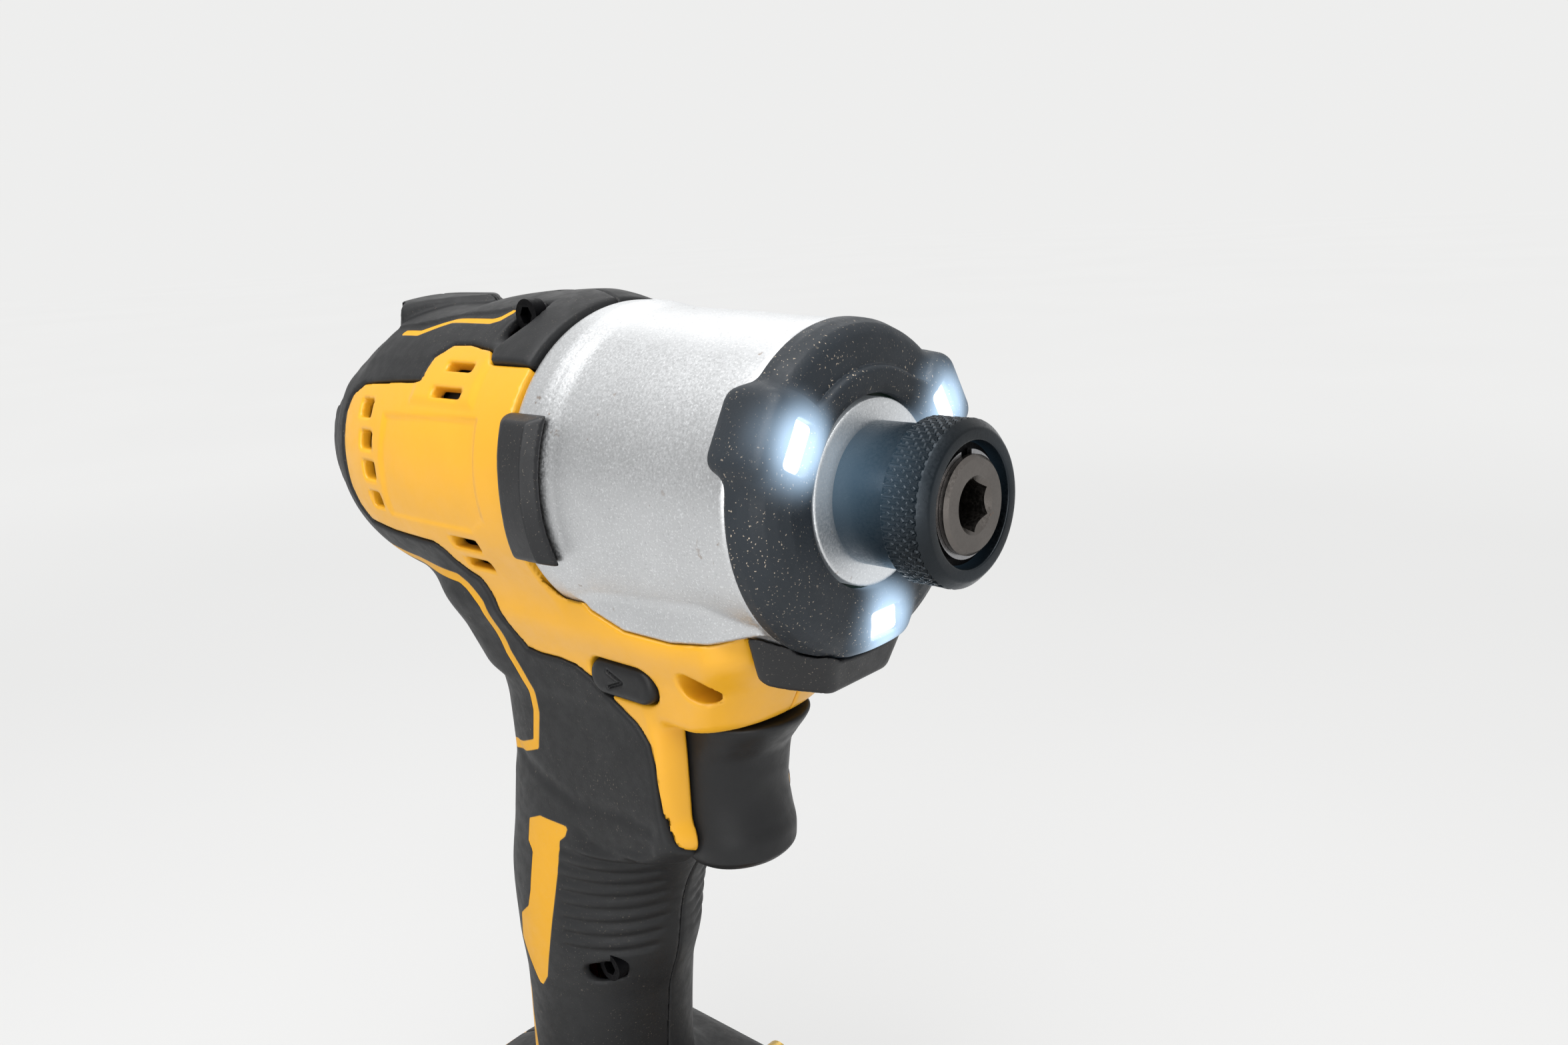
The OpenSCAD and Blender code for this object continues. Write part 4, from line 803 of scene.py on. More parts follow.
def hull_planes(corners):
    """Outward planes of the convex hull of some points."""
    shape = bmesh.new()
    bmesh.ops.convex_hull(shape, input=[shape.verts.new(c) for c in corners])
    middle = sum((v.co for v in shape.verts), Vector()) / len(shape.verts)
    planes = []
    for face in shape.faces:
        face.normal_update()
        normal = face.normal if face.normal.dot(face.verts[0].co - middle) > 0 else -face.normal
        planes.append((*normal, normal.dot(face.verts[0].co)))
    shape.free()
    kept = []
    for plane in planes:
        if all(np.abs(np.subtract(plane, other)).max() > 1e-3 for other in kept):
            kept.append(plane)
    return kept


CHIN_REAR, CHIN_FRONT, CHIN_GAP = NOSE_X - 28, NOSE_X - 20.5, 0.25
CHIN_CORNERS = [
    (CHIN_FRONT, 6.6, -29),
    (CHIN_REAR + 1.5, 13.6, -27),
    (CHIN_REAR, 14, -26),
    (CHIN_FRONT + 3.2, 9.2, -19.5),
    (CHIN_REAR + 1.5, 16, -17),
    (CHIN_REAR, 16.4, -17),
]
CHIN_PLANES = hull_planes([(x, s * y, h) for x, y, h in CHIN_CORNERS for s in (-1, 1)])


def chin_field(x, y, h):
    """The faceted cover under the nose."""
    d = np.full(np.shape(x), -99.0)
    for nx, ny, nh, reach in CHIN_PLANES:
        d = common(d, nx * x + ny * y + nh * h - reach, 0.9)
    d = cut(d, boot_field(x, y, h) - CHIN_GAP, 0.4)
    return cut(d, case_shell(x, y, h) - CHIN_GAP, 0.4)


STRIP_R = BARREL_R + 0.1
STRIP_REAR, STRIP_FRONT = STRIP_LOW[0], STRIP_HIGH[0]
STRIP_ROUND = 0.4
# Section of a side strip: radius and X
STRIP_SECTION = [
    (STRIP_R + 0.3, STRIP_REAR + 0.4),
    (STRIP_R + 1.2, STRIP_REAR + 0.4),
    (STRIP_R + 2.0, STRIP_REAR + 2.1),
    (STRIP_R + 2.0, STRIP_FRONT - 1.7),
    (STRIP_R + 0.6, STRIP_FRONT - 0.4),
    (STRIP_R + 0.3, STRIP_FRONT - 0.4),
]
# Half the strip's length along the arc, and the arc's shift upward
STRIP_HALF, STRIP_SHIFT = 12.7, 0.6


def strips_field(x, y, h):
    """The two side strips, with a bowed rear edge and bevelled ends."""
    r = np.hypot(y, h)
    d = outline(r, x, STRIP_SECTION) - STRIP_ROUND
    arc = np.abs(27.5 * np.arctan2(h, np.abs(y)) - STRIP_SHIFT) - STRIP_HALF
    bow = STRIP_REAR + 1.9 * np.maximum(1 - (h / 13) ** 2, 0)
    d = common(common(d, arc, 0.7), bow - x, 0.9)
    return common(d, 0.75 * (arc + 1.7) + 0.66 * (r - STRIP_R - 1.6), 0.5)


# Trigger and selector

TRIGGER_X = NOSE_X - 50.5
TRIGGER_TOP = TRIGGER_HIGH[2] - DRIVE_Z
# Drop below the top, front and rear past the back face, narrowing of each side
TRIGGER_ROWS = [
    (0, 17, 0, 0),
    (1.6, 16, 0, 0),
    (4, 14.1, 0, 0),
    (7, 12.1, 0, 0),
    (10.5, 11.4, 0, 0),
    (14.4, 10.9, 0, 0),
    (18.9, 11.5, 0, 0),
    (22, 12.1, 0, 0),
    (24.2, 12.1, 0, 0.3),
    (25.6, 11, 0.8, 1),
    (26.5, 9, 2.4, 2.4),
    (27, 7, 4, 4),
]
TRIGGER_HALF = 9.8
TRIGGER = Loft(
    [
        (
            TRIGGER_TOP - drop,
            TRIGGER_X + rear,
            TRIGGER_X + front,
            TRIGGER_HALF - thin,
            0.9,
            min(9, 0.85 * (front - rear)),
        )
        for drop, front, rear, thin in TRIGGER_ROWS
    ],
    1.0,
)
STEM_H, STEM_R = -47, 3


def trigger_field(x, y, h):
    """The trigger with its stem and the room for its spring."""
    d = TRIGGER(x, y, h)
    reach = np.hypot(y, h - STEM_H)
    d = cut(d, np.maximum(np.maximum(reach - 5.6, STEM_R - reach), x - TRIGGER_X - 5), 0.2)
    stem = common(reach - STEM_R, slab(x, TRIGGER_LOW[0], TRIGGER_X + 6), 0.4)
    return np.minimum(d, stem)


def selector_field(x, y, h):
    """The cross bar with an arrow sunk in each end."""
    low, high = SELECTOR_LOW, SELECTOR_HIGH
    half = (high[2] - low[2]) / 2
    mid = (high[2] + low[2]) / 2 - DRIVE_Z
    plan = trail(x, h, [(low[0] + half, mid), (high[0] - half, mid)], half)
    d = common(plan, slab(y, low[1], high[1]), 1.6)
    centre = (low[0] + high[0]) / 2
    end = np.minimum(y - low[1], high[1] - y)
    corners = [(centre - 2.6, mid + 1.3), (centre + 0.6, mid), (centre - 2.6, mid - 1.3)]
    return cut(d, np.maximum(trail(x, h, corners, 0.28), end - 0.45), 0.25)


# Collet sleeve

KNURL_FRONT, KNURL_REAR = NOSE_X - 1.3, NOSE_X - 6.65
SLEEVE_R, SLEEVE_NECK_R = 11.35, 10.0


def sleeve_mesh(sizes):
    """The turned sleeve, with a diamond knurl sunk in its band."""
    land = span("bit_ball_right")[0][0] + 1.75
    front = [
        (NOSE_X - 9.5, 8.5),
        (NOSE_X, 8.5),
        (NOSE_X, 10.15),
        (NOSE_X - 1.25, SLEEVE_R),
    ]
    rear = [
        (NOSE_X - 6.75, SLEEVE_R),
        (NOSE_X - 7.3, SLEEVE_NECK_R),
        (SLEEVE_LOW[0], SLEEVE_NECK_R),
        (SLEEVE_LOW[0], 8.8),
        (land - 1.6, 8.8),
        (land, 6.25),
        (land + 1.4, 6.25),
    ]
    band = [(x, SLEEVE_R - 0.05) for x in np.linspace(KNURL_FRONT, KNURL_REAR, sizes.knurl_rows)]
    corners = rounded(front + rear, 0.28)
    off_band = [abs(x - KNURL_FRONT) + abs(r - SLEEVE_R) for x, r in corners]
    place = off_band.index(min(off_band)) + 1
    points, faces = lathe(corners[:place] + band + corners[place:], sizes.knurl_count * 10)
    x, y, h = points.T
    radius, angle = np.hypot(y, h), np.arctan2(h, y)
    on_band = (x < KNURL_FRONT + 0.02) * (x > KNURL_REAR - 0.02) * (radius > 11)
    around = sizes.knurl_count * angle / (2 * math.pi)
    along = x / (sizes.knurl_pitch / MM)
    groove = [np.abs(g - np.round(g)) for g in (around + along, around - along)]
    peak = np.minimum(1, 3.6 * np.minimum(*groove))
    sink = on_band * (sizes.knurl_depth / MM) * (1 - peak)
    scale = (radius - sink) / radius
    return np.stack([x, y * scale, h * scale], 1), faces


# Battery pack

PACK_SPLIT = PACK_HIGH[2] - DRIVE_Z
PACK_BASE_H = PACK_LOW[2] - DRIVE_Z
PACK_CORNER = 11.0
PACK_WALL = 2.4
PACK_MIDDLE = (PACK_LOW[0] + PACK_HIGH[0]) / 2
PACK_TOP_SURFACE = FOOT_H - 0.15
RAIL_TOP = FOOT_H + 9.2
RAIL_REAR, RAIL_FRONT = -19.7, 36
CONTACT_SLOTS = (-9, -3, 3, 9)
LATCH_H, LATCH_TOP_H = LATCH_LOW[2] - DRIVE_Z, LATCH_HIGH[2] - DRIVE_Z


def pack_plan(x, y):
    """Distance to the pack's outline from above, with round corners."""
    half_x = (PACK_HIGH[0] - PACK_LOW[0]) / 2
    qx = np.abs(x - PACK_MIDDLE) - half_x + PACK_CORNER
    qy = np.abs(y) - PACK_HIGH[1] + PACK_CORNER
    corner = np.hypot(np.maximum(qx, 0), np.maximum(qy, 0))
    return corner + np.minimum(np.maximum(qx, qy), 0) - PACK_CORNER


def pack_base_field(x, y, h):
    """The pack's tray, with upright grooves in its sides."""
    plan = pack_plan(x, y)
    along = x - PACK_MIDDLE
    panel = window(h - PACK_BASE_H, 6, 20, 1.2) * window(np.abs(along), -1, 40, 1.2)
    grooves = 0.5 + 0.5 * np.cos(2 * math.pi * along / 5)
    side = plan + 0.7 * panel * step_up(grooves, 0.55, 0.9)
    d = common(side, slab(h, PACK_BASE_H, PACK_SPLIT - 0.15), 2.6)
    room = common(plan + PACK_WALL, slab(h, PACK_BASE_H + PACK_WALL, PACK_SPLIT + 5), 1)
    return cut(d, room, 0.5)


def pack_top_field(x, y, h):
    """The pack's lid with its rails, contact slots and the latch's well."""
    plan = pack_plan(x, y)
    top = PACK_TOP_SURFACE
    d = common(plan, slab(h, PACK_SPLIT + 0.1, top), 2.0)
    d = cut(d, common(plan + PACK_WALL, slab(h, PACK_SPLIT - 5, top - PACK_WALL), 1), 0.5)
    for half, low, soft in ((RAIL_NECK_HALF, top - 3, 0.4), (RAIL_HALF, FOOT_H + 3.3, 0.6)):
        rail = brick(x, y, h, (RAIL_REAR, -half, low), (RAIL_FRONT, half, RAIL_TOP), soft)
        d = np.minimum(d, rail)
    for middle in CONTACT_SLOTS:
        low, high = (-25, middle - 1.3, FOOT_H + 1.4), (-4.7, middle + 1.3, FOOT_H + 8.4)
        d = cut(d, brick(x, y, h, low, high, 0.2), 0.3)
    low = (LATCH_LOW[0] - 0.3, LATCH_LOW[1] - 0.3, LATCH_H - 6.5)
    high = (LATCH_HIGH[0] + 0.3, LATCH_HIGH[1] + 0.3, 20)
    well = brick(x, y, h, low, high, 0.5)
    well_wall = common(well - 2.2, slab(h, LATCH_H - 8, top), 0.4)
    return cut(np.minimum(d, well_wall), well, 0.5)


def latch_field(x, y, h):
    """The release button, scooped for the thumb and ribbed across."""
    d = brick(x, y, h, (*LATCH_LOW[:2], LATCH_H), (*LATCH_HIGH[:2], LATCH_TOP_H), 1.6)
    scoop = np.hypot(x - LATCH_HIGH[0] - 4, h - LATCH_TOP_H - 3) - 8
    scoop = common(scoop, np.abs(y) - LATCH_HIGH[1] + 4, 1.2)
    d = cut(d, scoop, 0.8)
    bars = step_up(np.cos(2 * math.pi * y / 2.2), 0.2, 0.8) * (np.abs(y) < 8) * (scoop < 0.6)
    return d - 0.35 * bars


# Finishes


class Nodes:
    """Adds nodes to the tree of a material or of the world."""

    def __init__(self, tree):
        self.tree = tree

    def node(self, kind, settings=(), **inputs):
        made = self.tree.nodes.new(kind)
        for key, value in dict(settings).items():
            setattr(made, key, value)
        for key, value in inputs.items():
            self.feed(made.inputs[key.replace("_", " ")], value)
        return made

    def feed(self, socket, value):
        if isinstance(value, bpy.types.NodeSocket):
            self.tree.links.new(value, socket)
        else:
            socket.default_value = value

    def pair(self, kind, operation, a, b):
        """A node that works on two inputs."""
        made = self.node(kind, {"operation": operation})
        self.feed(made.inputs[0], a)
        self.feed(made.inputs[1], b)
        return made

    def math(self, operation, a, b):
        return self.pair("ShaderNodeMath", operation, a, b).outputs[0]

    def vector(self, operation, a, b):
        return self.pair("ShaderNodeVectorMath", operation, a, b).outputs["Value"]

    def ramp(self, value, low, high, to_low=0.0, to_high=1.0, kind="SMOOTHSTEP"):
        made = self.node("ShaderNodeMapRange", {"interpolation_type": kind}, Value=value)
        ends = {"From Min": low, "From Max": high, "To Min": to_low, "To Max": to_high}
        for key, number in ends.items():
            self.feed(made.inputs[key], number)
        return made.outputs["Result"]

    def blend(self, share, first, second):
        """Mixes two shaders and feeds them to the tree's output."""
        made = self.node("ShaderNodeMixShader")
        for socket, value in zip(made.inputs, (share, first, second)):
            self.feed(socket, value)
        output = next(node for node in self.tree.nodes if node.type.startswith("OUTPUT"))
        self.feed(output.inputs["Surface"], made.outputs[0])

    def plain_rays(self):
        """1 for the rays that see the pale backdrop: camera, glossy and transmission rays."""
        path = self.node("ShaderNodeLightPath").outputs
        direct = self.math("MAXIMUM", path["Is Camera Ray"], path["Is Glossy Ray"])
        return self.math("MAXIMUM", direct, path["Is Transmission Ray"])


class Finish(Nodes):
    """A material under construction."""

    def __init__(self, name):
        self.material = bpy.data.materials.new(name)
        self.material.use_nodes = True
        super().__init__(self.material.node_tree)
        self.shader = self.tree.nodes["Principled BSDF"]
        self.place = self.node("ShaderNodeTexCoord").outputs["Object"]

    def noise(self, scale, detail=2.0, rough=0.5, place=None):
        made = self.node("ShaderNodeTexNoise", Scale=scale, Detail=detail, Roughness=rough)
        self.feed(made.inputs["Vector"], self.place if place is None else place)
        return made.outputs["Fac"]

    def times(self, a, b):
        return self.math("MULTIPLY", a, b)

    def sum(self, a, b):
        return self.math("ADD", a, b)

    def mix(self, share, a, b):
        made = self.node("ShaderNodeMix", {"data_type": "RGBA"}, Factor=share)
        for key, colour in (("A", a), ("B", b)):
            known = isinstance(colour, bpy.types.NodeSocket)
            self.feed(made.inputs[key], colour if known else (*colour, 1))
        return made.outputs["Result"]

    def uneven(self, cloud, colour, spread):
        """A colour that varies by a share of itself with a noise."""
        return self.mix(self.ramp(cloud, 0.3, 0.7), shade(colour, 1 - spread), shade(colour, 1 + spread))

    def bump(self, height, strength, depth, under=None):
        made = self.node("ShaderNodeBump", Strength=strength, Distance=depth, Height=height)
        if under is not None:
            self.feed(made.inputs["Normal"], under)
        return made.outputs["Normal"]

    def set(self, **inputs):
        for key, value in inputs.items():
            self.feed(self.shader.inputs[key.replace("_", " ")], value)
        return self.material


def shade(colour, factor):
    """A colour made lighter or darker."""
    return tuple(min(1.0, c * factor) for c in colour)


DUST = (0.5, 0.42, 0.33)
GRAIN_DEPTH = 0.2 * MM


def plastic(name, colour, rough, grain, spread=0.06, trim=None, dust=0.0, glow=None, ior=1.38):
    """Moulded plastic or rubber with a fine grain, uneven tone and some dust."""
    f = Finish(name)
    tone = f.uneven(f.noise(55, 3), colour, spread)
    roughness = f.ramp(f.noise(420, 4, 0.6), 0.25, 0.75, rough - 0.07, rough + 0.07)
    if trim is not None:
        edge = f.node("ShaderNodeAttribute", {"attribute_name": "trim"}).outputs["Fac"]
        tone = f.mix(f.ramp(edge, -0.09, 0.09, 1, 0), tone, trim)
    if dust > 0:
        specks = f.ramp(f.noise(2900, 1), 0.68, 0.74)
        grit = f.times(f.ramp(f.noise(1300, 1), 0.74, 0.78), f.ramp(f.noise(110, 1), 0.5, 0.6))
        patches = f.ramp(f.noise(75, 2), 0.35, 0.65, 0.15, 1.0)
        tone = f.mix(f.times(f.sum(f.times(specks, patches), grit), dust), tone, DUST)
    skin = f.bump(f.noise(2600, 2), grain, GRAIN_DEPTH)
    if trim is not None:
        skin = f.bump(f.ramp(edge, -0.35, 0.35), 0.5, 0.3 * MM, skin)
    if glow is not None:
        painted_lamp_glow(f, *glow)
    return f.set(Base_Color=tone, Roughness=roughness, Normal=skin, IOR=ior)


def metal(name, colour, rough, grain, spread=0.08, stain=None, stretch=None, speckle=0.0, glow=None):
    """Bare, cast or painted metal with grain and stains."""
    f = Finish(name)
    tone = f.uneven(f.noise(90, 4, 0.6), colour, spread)
    if speckle:
        glint = f.ramp(f.noise(3400, 1), 0.56, 0.70)
        tone = f.mix(f.times(glint, speckle), tone, shade(colour, 1.5))
        pit = f.ramp(f.noise(2700, 1), 0.62, 0.74)
        tone = f.mix(f.times(pit, speckle * 0.7), tone, shade(colour, 0.55))
    if stain is not None:
        spots = f.times(f.ramp(f.noise(700, 3), 0.66, 0.74), f.ramp(f.noise(60, 2), 0.5, 0.65))
        tone = f.mix(f.times(spots, 0.7), tone, stain)
    if stretch is None:
        texture = f.noise(2400, 2)
    else:
        lay = f.node("ShaderNodeMapping", Vector=f.place, Scale=stretch)
        texture = f.noise(900, 3, place=lay.outputs["Vector"])
    roughness = f.ramp(texture, 0.3, 0.7, rough - 0.06, rough + 0.08)
    if glow is not None:
        painted_lamp_glow(f, *glow)
    skin = f.bump(texture, grain, GRAIN_DEPTH)
    return f.set(Base_Color=tone, Metallic=1.0, Roughness=roughness, Normal=skin)


def lamp_glass(colour, strength):
    """Lit lamp window with a slightly uneven tint."""
    f = Finish("lamp_window")
    ripple = f.ramp(f.noise(900, 1), 0.3, 0.7, 0.85, 1.0)
    tint = f.mix(ripple, shade(colour, 0.92), colour)
    return f.set(Base_Color=tint, Roughness=0.25, Emission_Color=tint, Emission_Strength=strength)


def painted_lamp_glow(f, colour, strength, reach, rear=0.0):
    """Paints the light that the lamps shed on the pieces round them, as emission, ahead of a place on X."""
    total = 0.0
    out = (LAMP_IN + LAMP_OUT) / 2
    for turn in LAMP_TURNS:
        a = math.radians(turn)
        centre = (LENS_FRONT * MM, out * math.sin(a) * MM, (DRIVE_Z - out * math.cos(a)) * MM)
        fall = f.ramp(f.vector("DISTANCE", f.place, centre), 2 * MM, reach, 1, 0)
        total = f.sum(total, f.times(fall, f.times(fall, fall)))
    along = f.node("ShaderNodeSeparateXYZ", Vector=f.place).outputs["X"]
    share = f.times(total, f.ramp(along, rear, rear + MM))
    f.set(Emission_Color=(*colour, 1), Emission_Strength=f.times(share, strength))


# Settings


def length_setting(name, description, value):
    return FloatProperty(name=name, description=description, default=value * MM, unit="LENGTH")


def count_setting(name, description, value):
    return IntProperty(name=name, description=description, default=value)


def colour_setting(name, description, value):
    return FloatVectorProperty(
        name=name, description=description, default=value, subtype="COLOR", min=0, max=1
    )


def power_setting(name, description, value):
    return FloatProperty(name=name, description=description, default=value, unit="POWER")


def level_setting(name, description, value):
    return FloatProperty(name=name, description=description, default=value)


class DriverSizes(bpy.types.PropertyGroup):
    """Sizes of the dressed pieces."""

    shell_step: length_setting("Shell step", "Mesh size of the moulded shells", 0.6)
    fine_step: length_setting("Fine step", "Mesh size of the nose and small pieces", 0.4)
    pack_step: length_setting("Pack step", "Mesh size of the battery pack", 0.9)
    knurl_count: count_setting("Knurl count", "Diamonds round the sleeve", 50)
    knurl_rows: count_setting("Knurl rows", "Mesh rows along the knurl", 54)
    knurl_pitch: length_setting("Knurl pitch", "Length of a diamond", 1.45)
    knurl_depth: length_setting("Knurl depth", "Depth of the knurl's grooves", 0.48)


class DriverColours(bpy.types.PropertyGroup):
    """Colours of the driver's finishes."""

    shell: colour_setting("Shell", "Yellow of the moulded shell", (0.765, 0.378, 0.0165))
    grip: colour_setting("Grip", "Black of the soft overmould", (0.0145, 0.015, 0.016))
    boot: colour_setting("Boot", "Black of the rubber nose boot", (0.018, 0.023, 0.029))
    chin: colour_setting("Chin", "Black of the hard plastic pieces", (0.018, 0.0185, 0.020))
    case: colour_setting("Case", "Silver of the gear case", (0.62, 0.63, 0.64))
    sleeve: colour_setting("Sleeve", "Black oxide of the collet", (0.030, 0.034, 0.038))
    anvil: colour_setting("Anvil", "Bare steel of the anvil", (0.15, 0.137, 0.127))
    lamp: colour_setting("Lamp", "Light of the three lamps", (0.93, 0.97, 1.0))


class StudioSettings(bpy.types.PropertyGroup):
    """Camera, floor and lights."""

    lens: FloatProperty(
        name="Lens",
        description="Focal length of the camera",
        default=29.156,
        subtype="DISTANCE_CAMERA",
    )
    floor: colour_setting("Floor", "Colour of the pale floor", (0.86, 0.86, 0.855))
    backdrop: colour_setting("Backdrop", "Colour behind the floor", (0.855, 0.855, 0.85))
    fill: level_setting("Fill", "Light from all round", 0.36)
    key: power_setting("Key", "Power of the soft light overhead", 7.0)
    side: power_setting("Side", "Power of the soft light on the right", 2.8)
    back: power_setting("Back", "Power of the soft light behind", 0.9)
    lamp_power: level_setting("Lamp brightness", "Brightness of the lit lamp windows", 2.5)


def settings():
    """The scene's sizes, colours and studio settings."""
    scene = bpy.context.scene
    return scene.driver_sizes, scene.driver_colours, scene.driver_studio


def dress(obj, body_name, nodes, material):
    """Puts a finished piece on its body in place of its CAD nodes."""
    obj.data.materials.append(material)
    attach(obj, body_name)
    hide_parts(*nodes)
    return obj


def offset_box(low, high, grow=1.0):
    """A node's box with heights from the drive axis, grown a little."""
    rise = np.array((0, 0, DRIVE_Z))
    return low - grow - rise, high + grow - rise


SIDES = ((-1, "right"), (1, "left"))


def mould(name, field, node, step, finish, body_name="housing"):
    """Moulds a piece inside its CAD node's box and puts it in the node's place."""
    obj, points = moulded(name, field, *offset_box(*span(node)), step)
    dress(obj, body_name, [node], finish)
    return obj, points


class DRIVER_OT_housing(bpy.types.Operator):
    """Moulds the two halves of the yellow shell"""

    bl_idname = "impact_driver.housing"
    bl_label = "Housing halves"

    def execute(self, context):
        sizes, colours, _ = settings()
        step = sizes.shell_step / MM
        finish = plastic("yellow_shell", colours.shell, 0.36, 0.05, 0.03, ior=1.5)
        for side, name in SIDES:
            field = partial(housing_field, side=side)
            mould(f"shell_{name}", field, f"housing_{name}", step, finish)
        return {"FINISHED"}


class DRIVER_OT_overmould(bpy.types.Operator):
    """Moulds the soft grip, tail and top bands with their yellow trim"""

    bl_idname = "impact_driver.overmould"
    bl_label = "Soft overmould"

    def execute(self, context):
        sizes, colours, _ = settings()
        step = sizes.shell_step / MM
        inlay = shade(colours.shell, 0.95)
        finish = plastic("black_grip", colours.grip, 0.55, 0.12, 0.1, trim=inlay, dust=0.12)
        for side, name in SIDES:
            field = partial(overmould_field, side=side)
            obj, points = mould(f"grip_{name}", field, f"overmould_{name}", step, finish)
            trim = obj.data.attributes.new("trim", "FLOAT", "POINT")
            trim.data.foreach_set("value", trim_field(*points.T).astype(np.float32))
        return {"FINISHED"}


class DRIVER_OT_gear_case(bpy.types.Operator):
    """Casts the silver gear case with its keel"""

    bl_idname = "impact_driver.gear_case"
    bl_label = "Gear case"

    def execute(self, context):
        sizes, colours, _ = settings()
        # Painted lamp light on the case's front end, as emission
        glow = ((0.85, 0.93, 1.0), 0.3, 0.03, (FLANGE_X - 3) * MM)
        rust = (0.25, 0.16, 0.1)
        finish = metal("silver_case", colours.case, 0.42, 0.10, 0.03, stain=rust, speckle=0.45, glow=glow)
        step = sizes.fine_step / MM * 1.2
        mould("case_casting", case_field, "gear_case", step, finish)
        return {"FINISHED"}


class DRIVER_OT_nose(bpy.types.Operator):
    """Moulds the nose boot, its lamp windows, the chin cover and the side strips"""

    bl_idname = "impact_driver.nose"
    bl_label = "Nose and side strips"

    def execute(self, context):
        sizes, colours, studio = settings()
        step = sizes.fine_step / MM
        # Painted lamp light on the boot round the lamps, as emission
        glow = ((0.55, 0.76, 1.0), 1.2, 0.011)
        boot = plastic("black_boot", colours.boot, 0.5, 0.16, 0.15, dust=0.85, glow=glow)
        mould("nose_boot", boot_field, "nose_bumper", step, boot)
        glass = lamp_glass(colours.lamp, studio.lamp_power)
        mould("lamp_windows", lens_field, "lamp_lenses", step / 2, glass)
        hard = plastic("black_plastic", colours.chin, 0.42, 0.10, 0.12, dust=0.25)
        mould("chin", chin_field, "chin_cover", step, hard)
        mould("side_strips", strips_field, "side_bumpers", step, hard)
        return {"FINISHED"}


class DRIVER_OT_collet(bpy.types.Operator):
    """Turns the knurled sleeve"""

    bl_idname = "impact_driver.collet"
    bl_label = "Collet sleeve"

    def execute(self, context):
        sizes, colours, _ = settings()
        obj = make_object("knurled_sleeve", *sleeve_mesh(sizes))
        shape = bmesh.new()
        shape.from_mesh(obj.data)
        bmesh.ops.recalc_face_normals(shape, faces=shape.faces)
        shape.to_mesh(obj.data)
        shape.free()
        obj.data.set_sharp_from_angle(angle=math.radians(38))
        # Painted lamp light on the sleeve, as emission
        glow = ((0.4, 0.7, 1.0), 0.26, 0.028)
        wear = (0.12, 0.12, 0.12)
        finish = metal("black_steel", colours.sleeve, 0.33, 0.05, 0.15, stain=wear, glow=glow)
        dress(obj, "collet", ["collet_sleeve"], finish)
        return {"FINISHED"}


class DRIVER_OT_controls(bpy.types.Operator):
    """Moulds the trigger and the direction selector"""

    bl_idname = "impact_driver.controls"
    bl_label = "Trigger and selector"

    def execute(self, context):
        sizes, colours, _ = settings()
        step = sizes.fine_step / MM
        # Painted shade: the trigger and selector take the chin's black darkened to 0.6, standing in for the
        # lamp light that falls on the chin and not on them
        finish = plastic("trigger_black", shade(colours.chin, 0.6), 0.45, 0.08, 0.1)
        for name, field, node, body_name in (
            ("trigger_lever", trigger_field, "trigger", "trigger"),
            ("selector_bar", selector_field, "direction_selector", "selector"),
        ):
            mould(name, field, node, step, finish, body_name)
        return {"FINISHED"}


class DRIVER_OT_pack(bpy.types.Operator):
    """Moulds the battery pack and its release button"""

    bl_idname = "impact_driver.pack"
    bl_label = "Battery pack"

    def execute(self, context):
        sizes, colours, _ = settings()
        step = sizes.pack_step / MM
        finish = plastic("pack_black", shade(colours.chin, 1.1), 0.5, 0.14, 0.12)
        mould("pack_tray", pack_base_field, "pack_base", step, finish, "battery")
        mould("pack_lid", pack_top_field, "pack_top", step, finish, "battery")
        button = plastic("latch_yellow", colours.shell, 0.4, 0.08, 0.05)
        mould("release_button", latch_field, "pack_latch", step * 0.7, button, "latch")
        return {"FINISHED"}


class DRIVER_OT_inner_finishes(bpy.types.Operator):
    """Gives every other piece the finish of its material slot"""

    bl_idname = "impact_driver.inner_finishes"
    bl_label = "Inner finishes"

    def execute(self, context):
        _, colours, _ = settings()
        finishes = {
            "circuit_board": plastic("circuit_board", (0.012, 0.035, 0.022), 0.4, 0.1, 0.2),
            "tool_steel": metal("tool_steel", colours.anvil, 0.34, 0.06, 0.12, stain=(0.28, 0.12, 0.05)),
            "bright_steel": metal("bright_steel", (0.58, 0.58, 0.6), 0.22, 0.03, 0.05),
            "black_steel": metal("black_screw_steel", (0.008, 0.008, 0.009), 0.55, 0.06, 0.15),
            "spring_steel": metal("spring_steel", (0.34, 0.34, 0.35), 0.3, 0.05, 0.1),
            "bronze": metal("bronze", (0.46, 0.27, 0.11), 0.45, 0.1, 0.12),
            "plated_brass": metal("plated_brass", (0.55, 0.38, 0.12), 0.3, 0.06, 0.1),
            "copper_wire": metal("copper_wire", (0.50, 0.19, 0.07), 0.35, 0.3, 0.1, stretch=(0.2, 1, 1)),
            "lamination": metal("lamination", (0.2, 0.21, 0.22), 0.45, 0.3, 0.1, stretch=(6, 0.1, 0.1)),
            "black_plastic": plastic("inner_black_plastic", colours.chin, 0.5, 0.12, 0.12),
            "dark_plastic": plastic("dark_plastic", (0.03, 0.03, 0.033), 0.5, 0.12, 0.12),
            "lead_jacket": plastic("lead_jacket", (0.25, 0.012, 0.012), 0.4, 0.05, 0.1),
            "cell_wrap": plastic("cell_wrap", (0.04, 0.12, 0.2), 0.35, 0.06, 0.1),
        }
        slots = {row["node"]: row["material_slot"] for row in frame["record"]["subparts"]}
        for node, obj in frame["nodes"].items():
            if obj.hide_render:
                continue
            if slots[node] not in finishes:
                raise RuntimeError(f"{node} has no finish for slot {slots[node]}")
            obj.data.materials.clear()
            obj.data.materials.append(finishes[slots[node]])
        return {"FINISHED"}


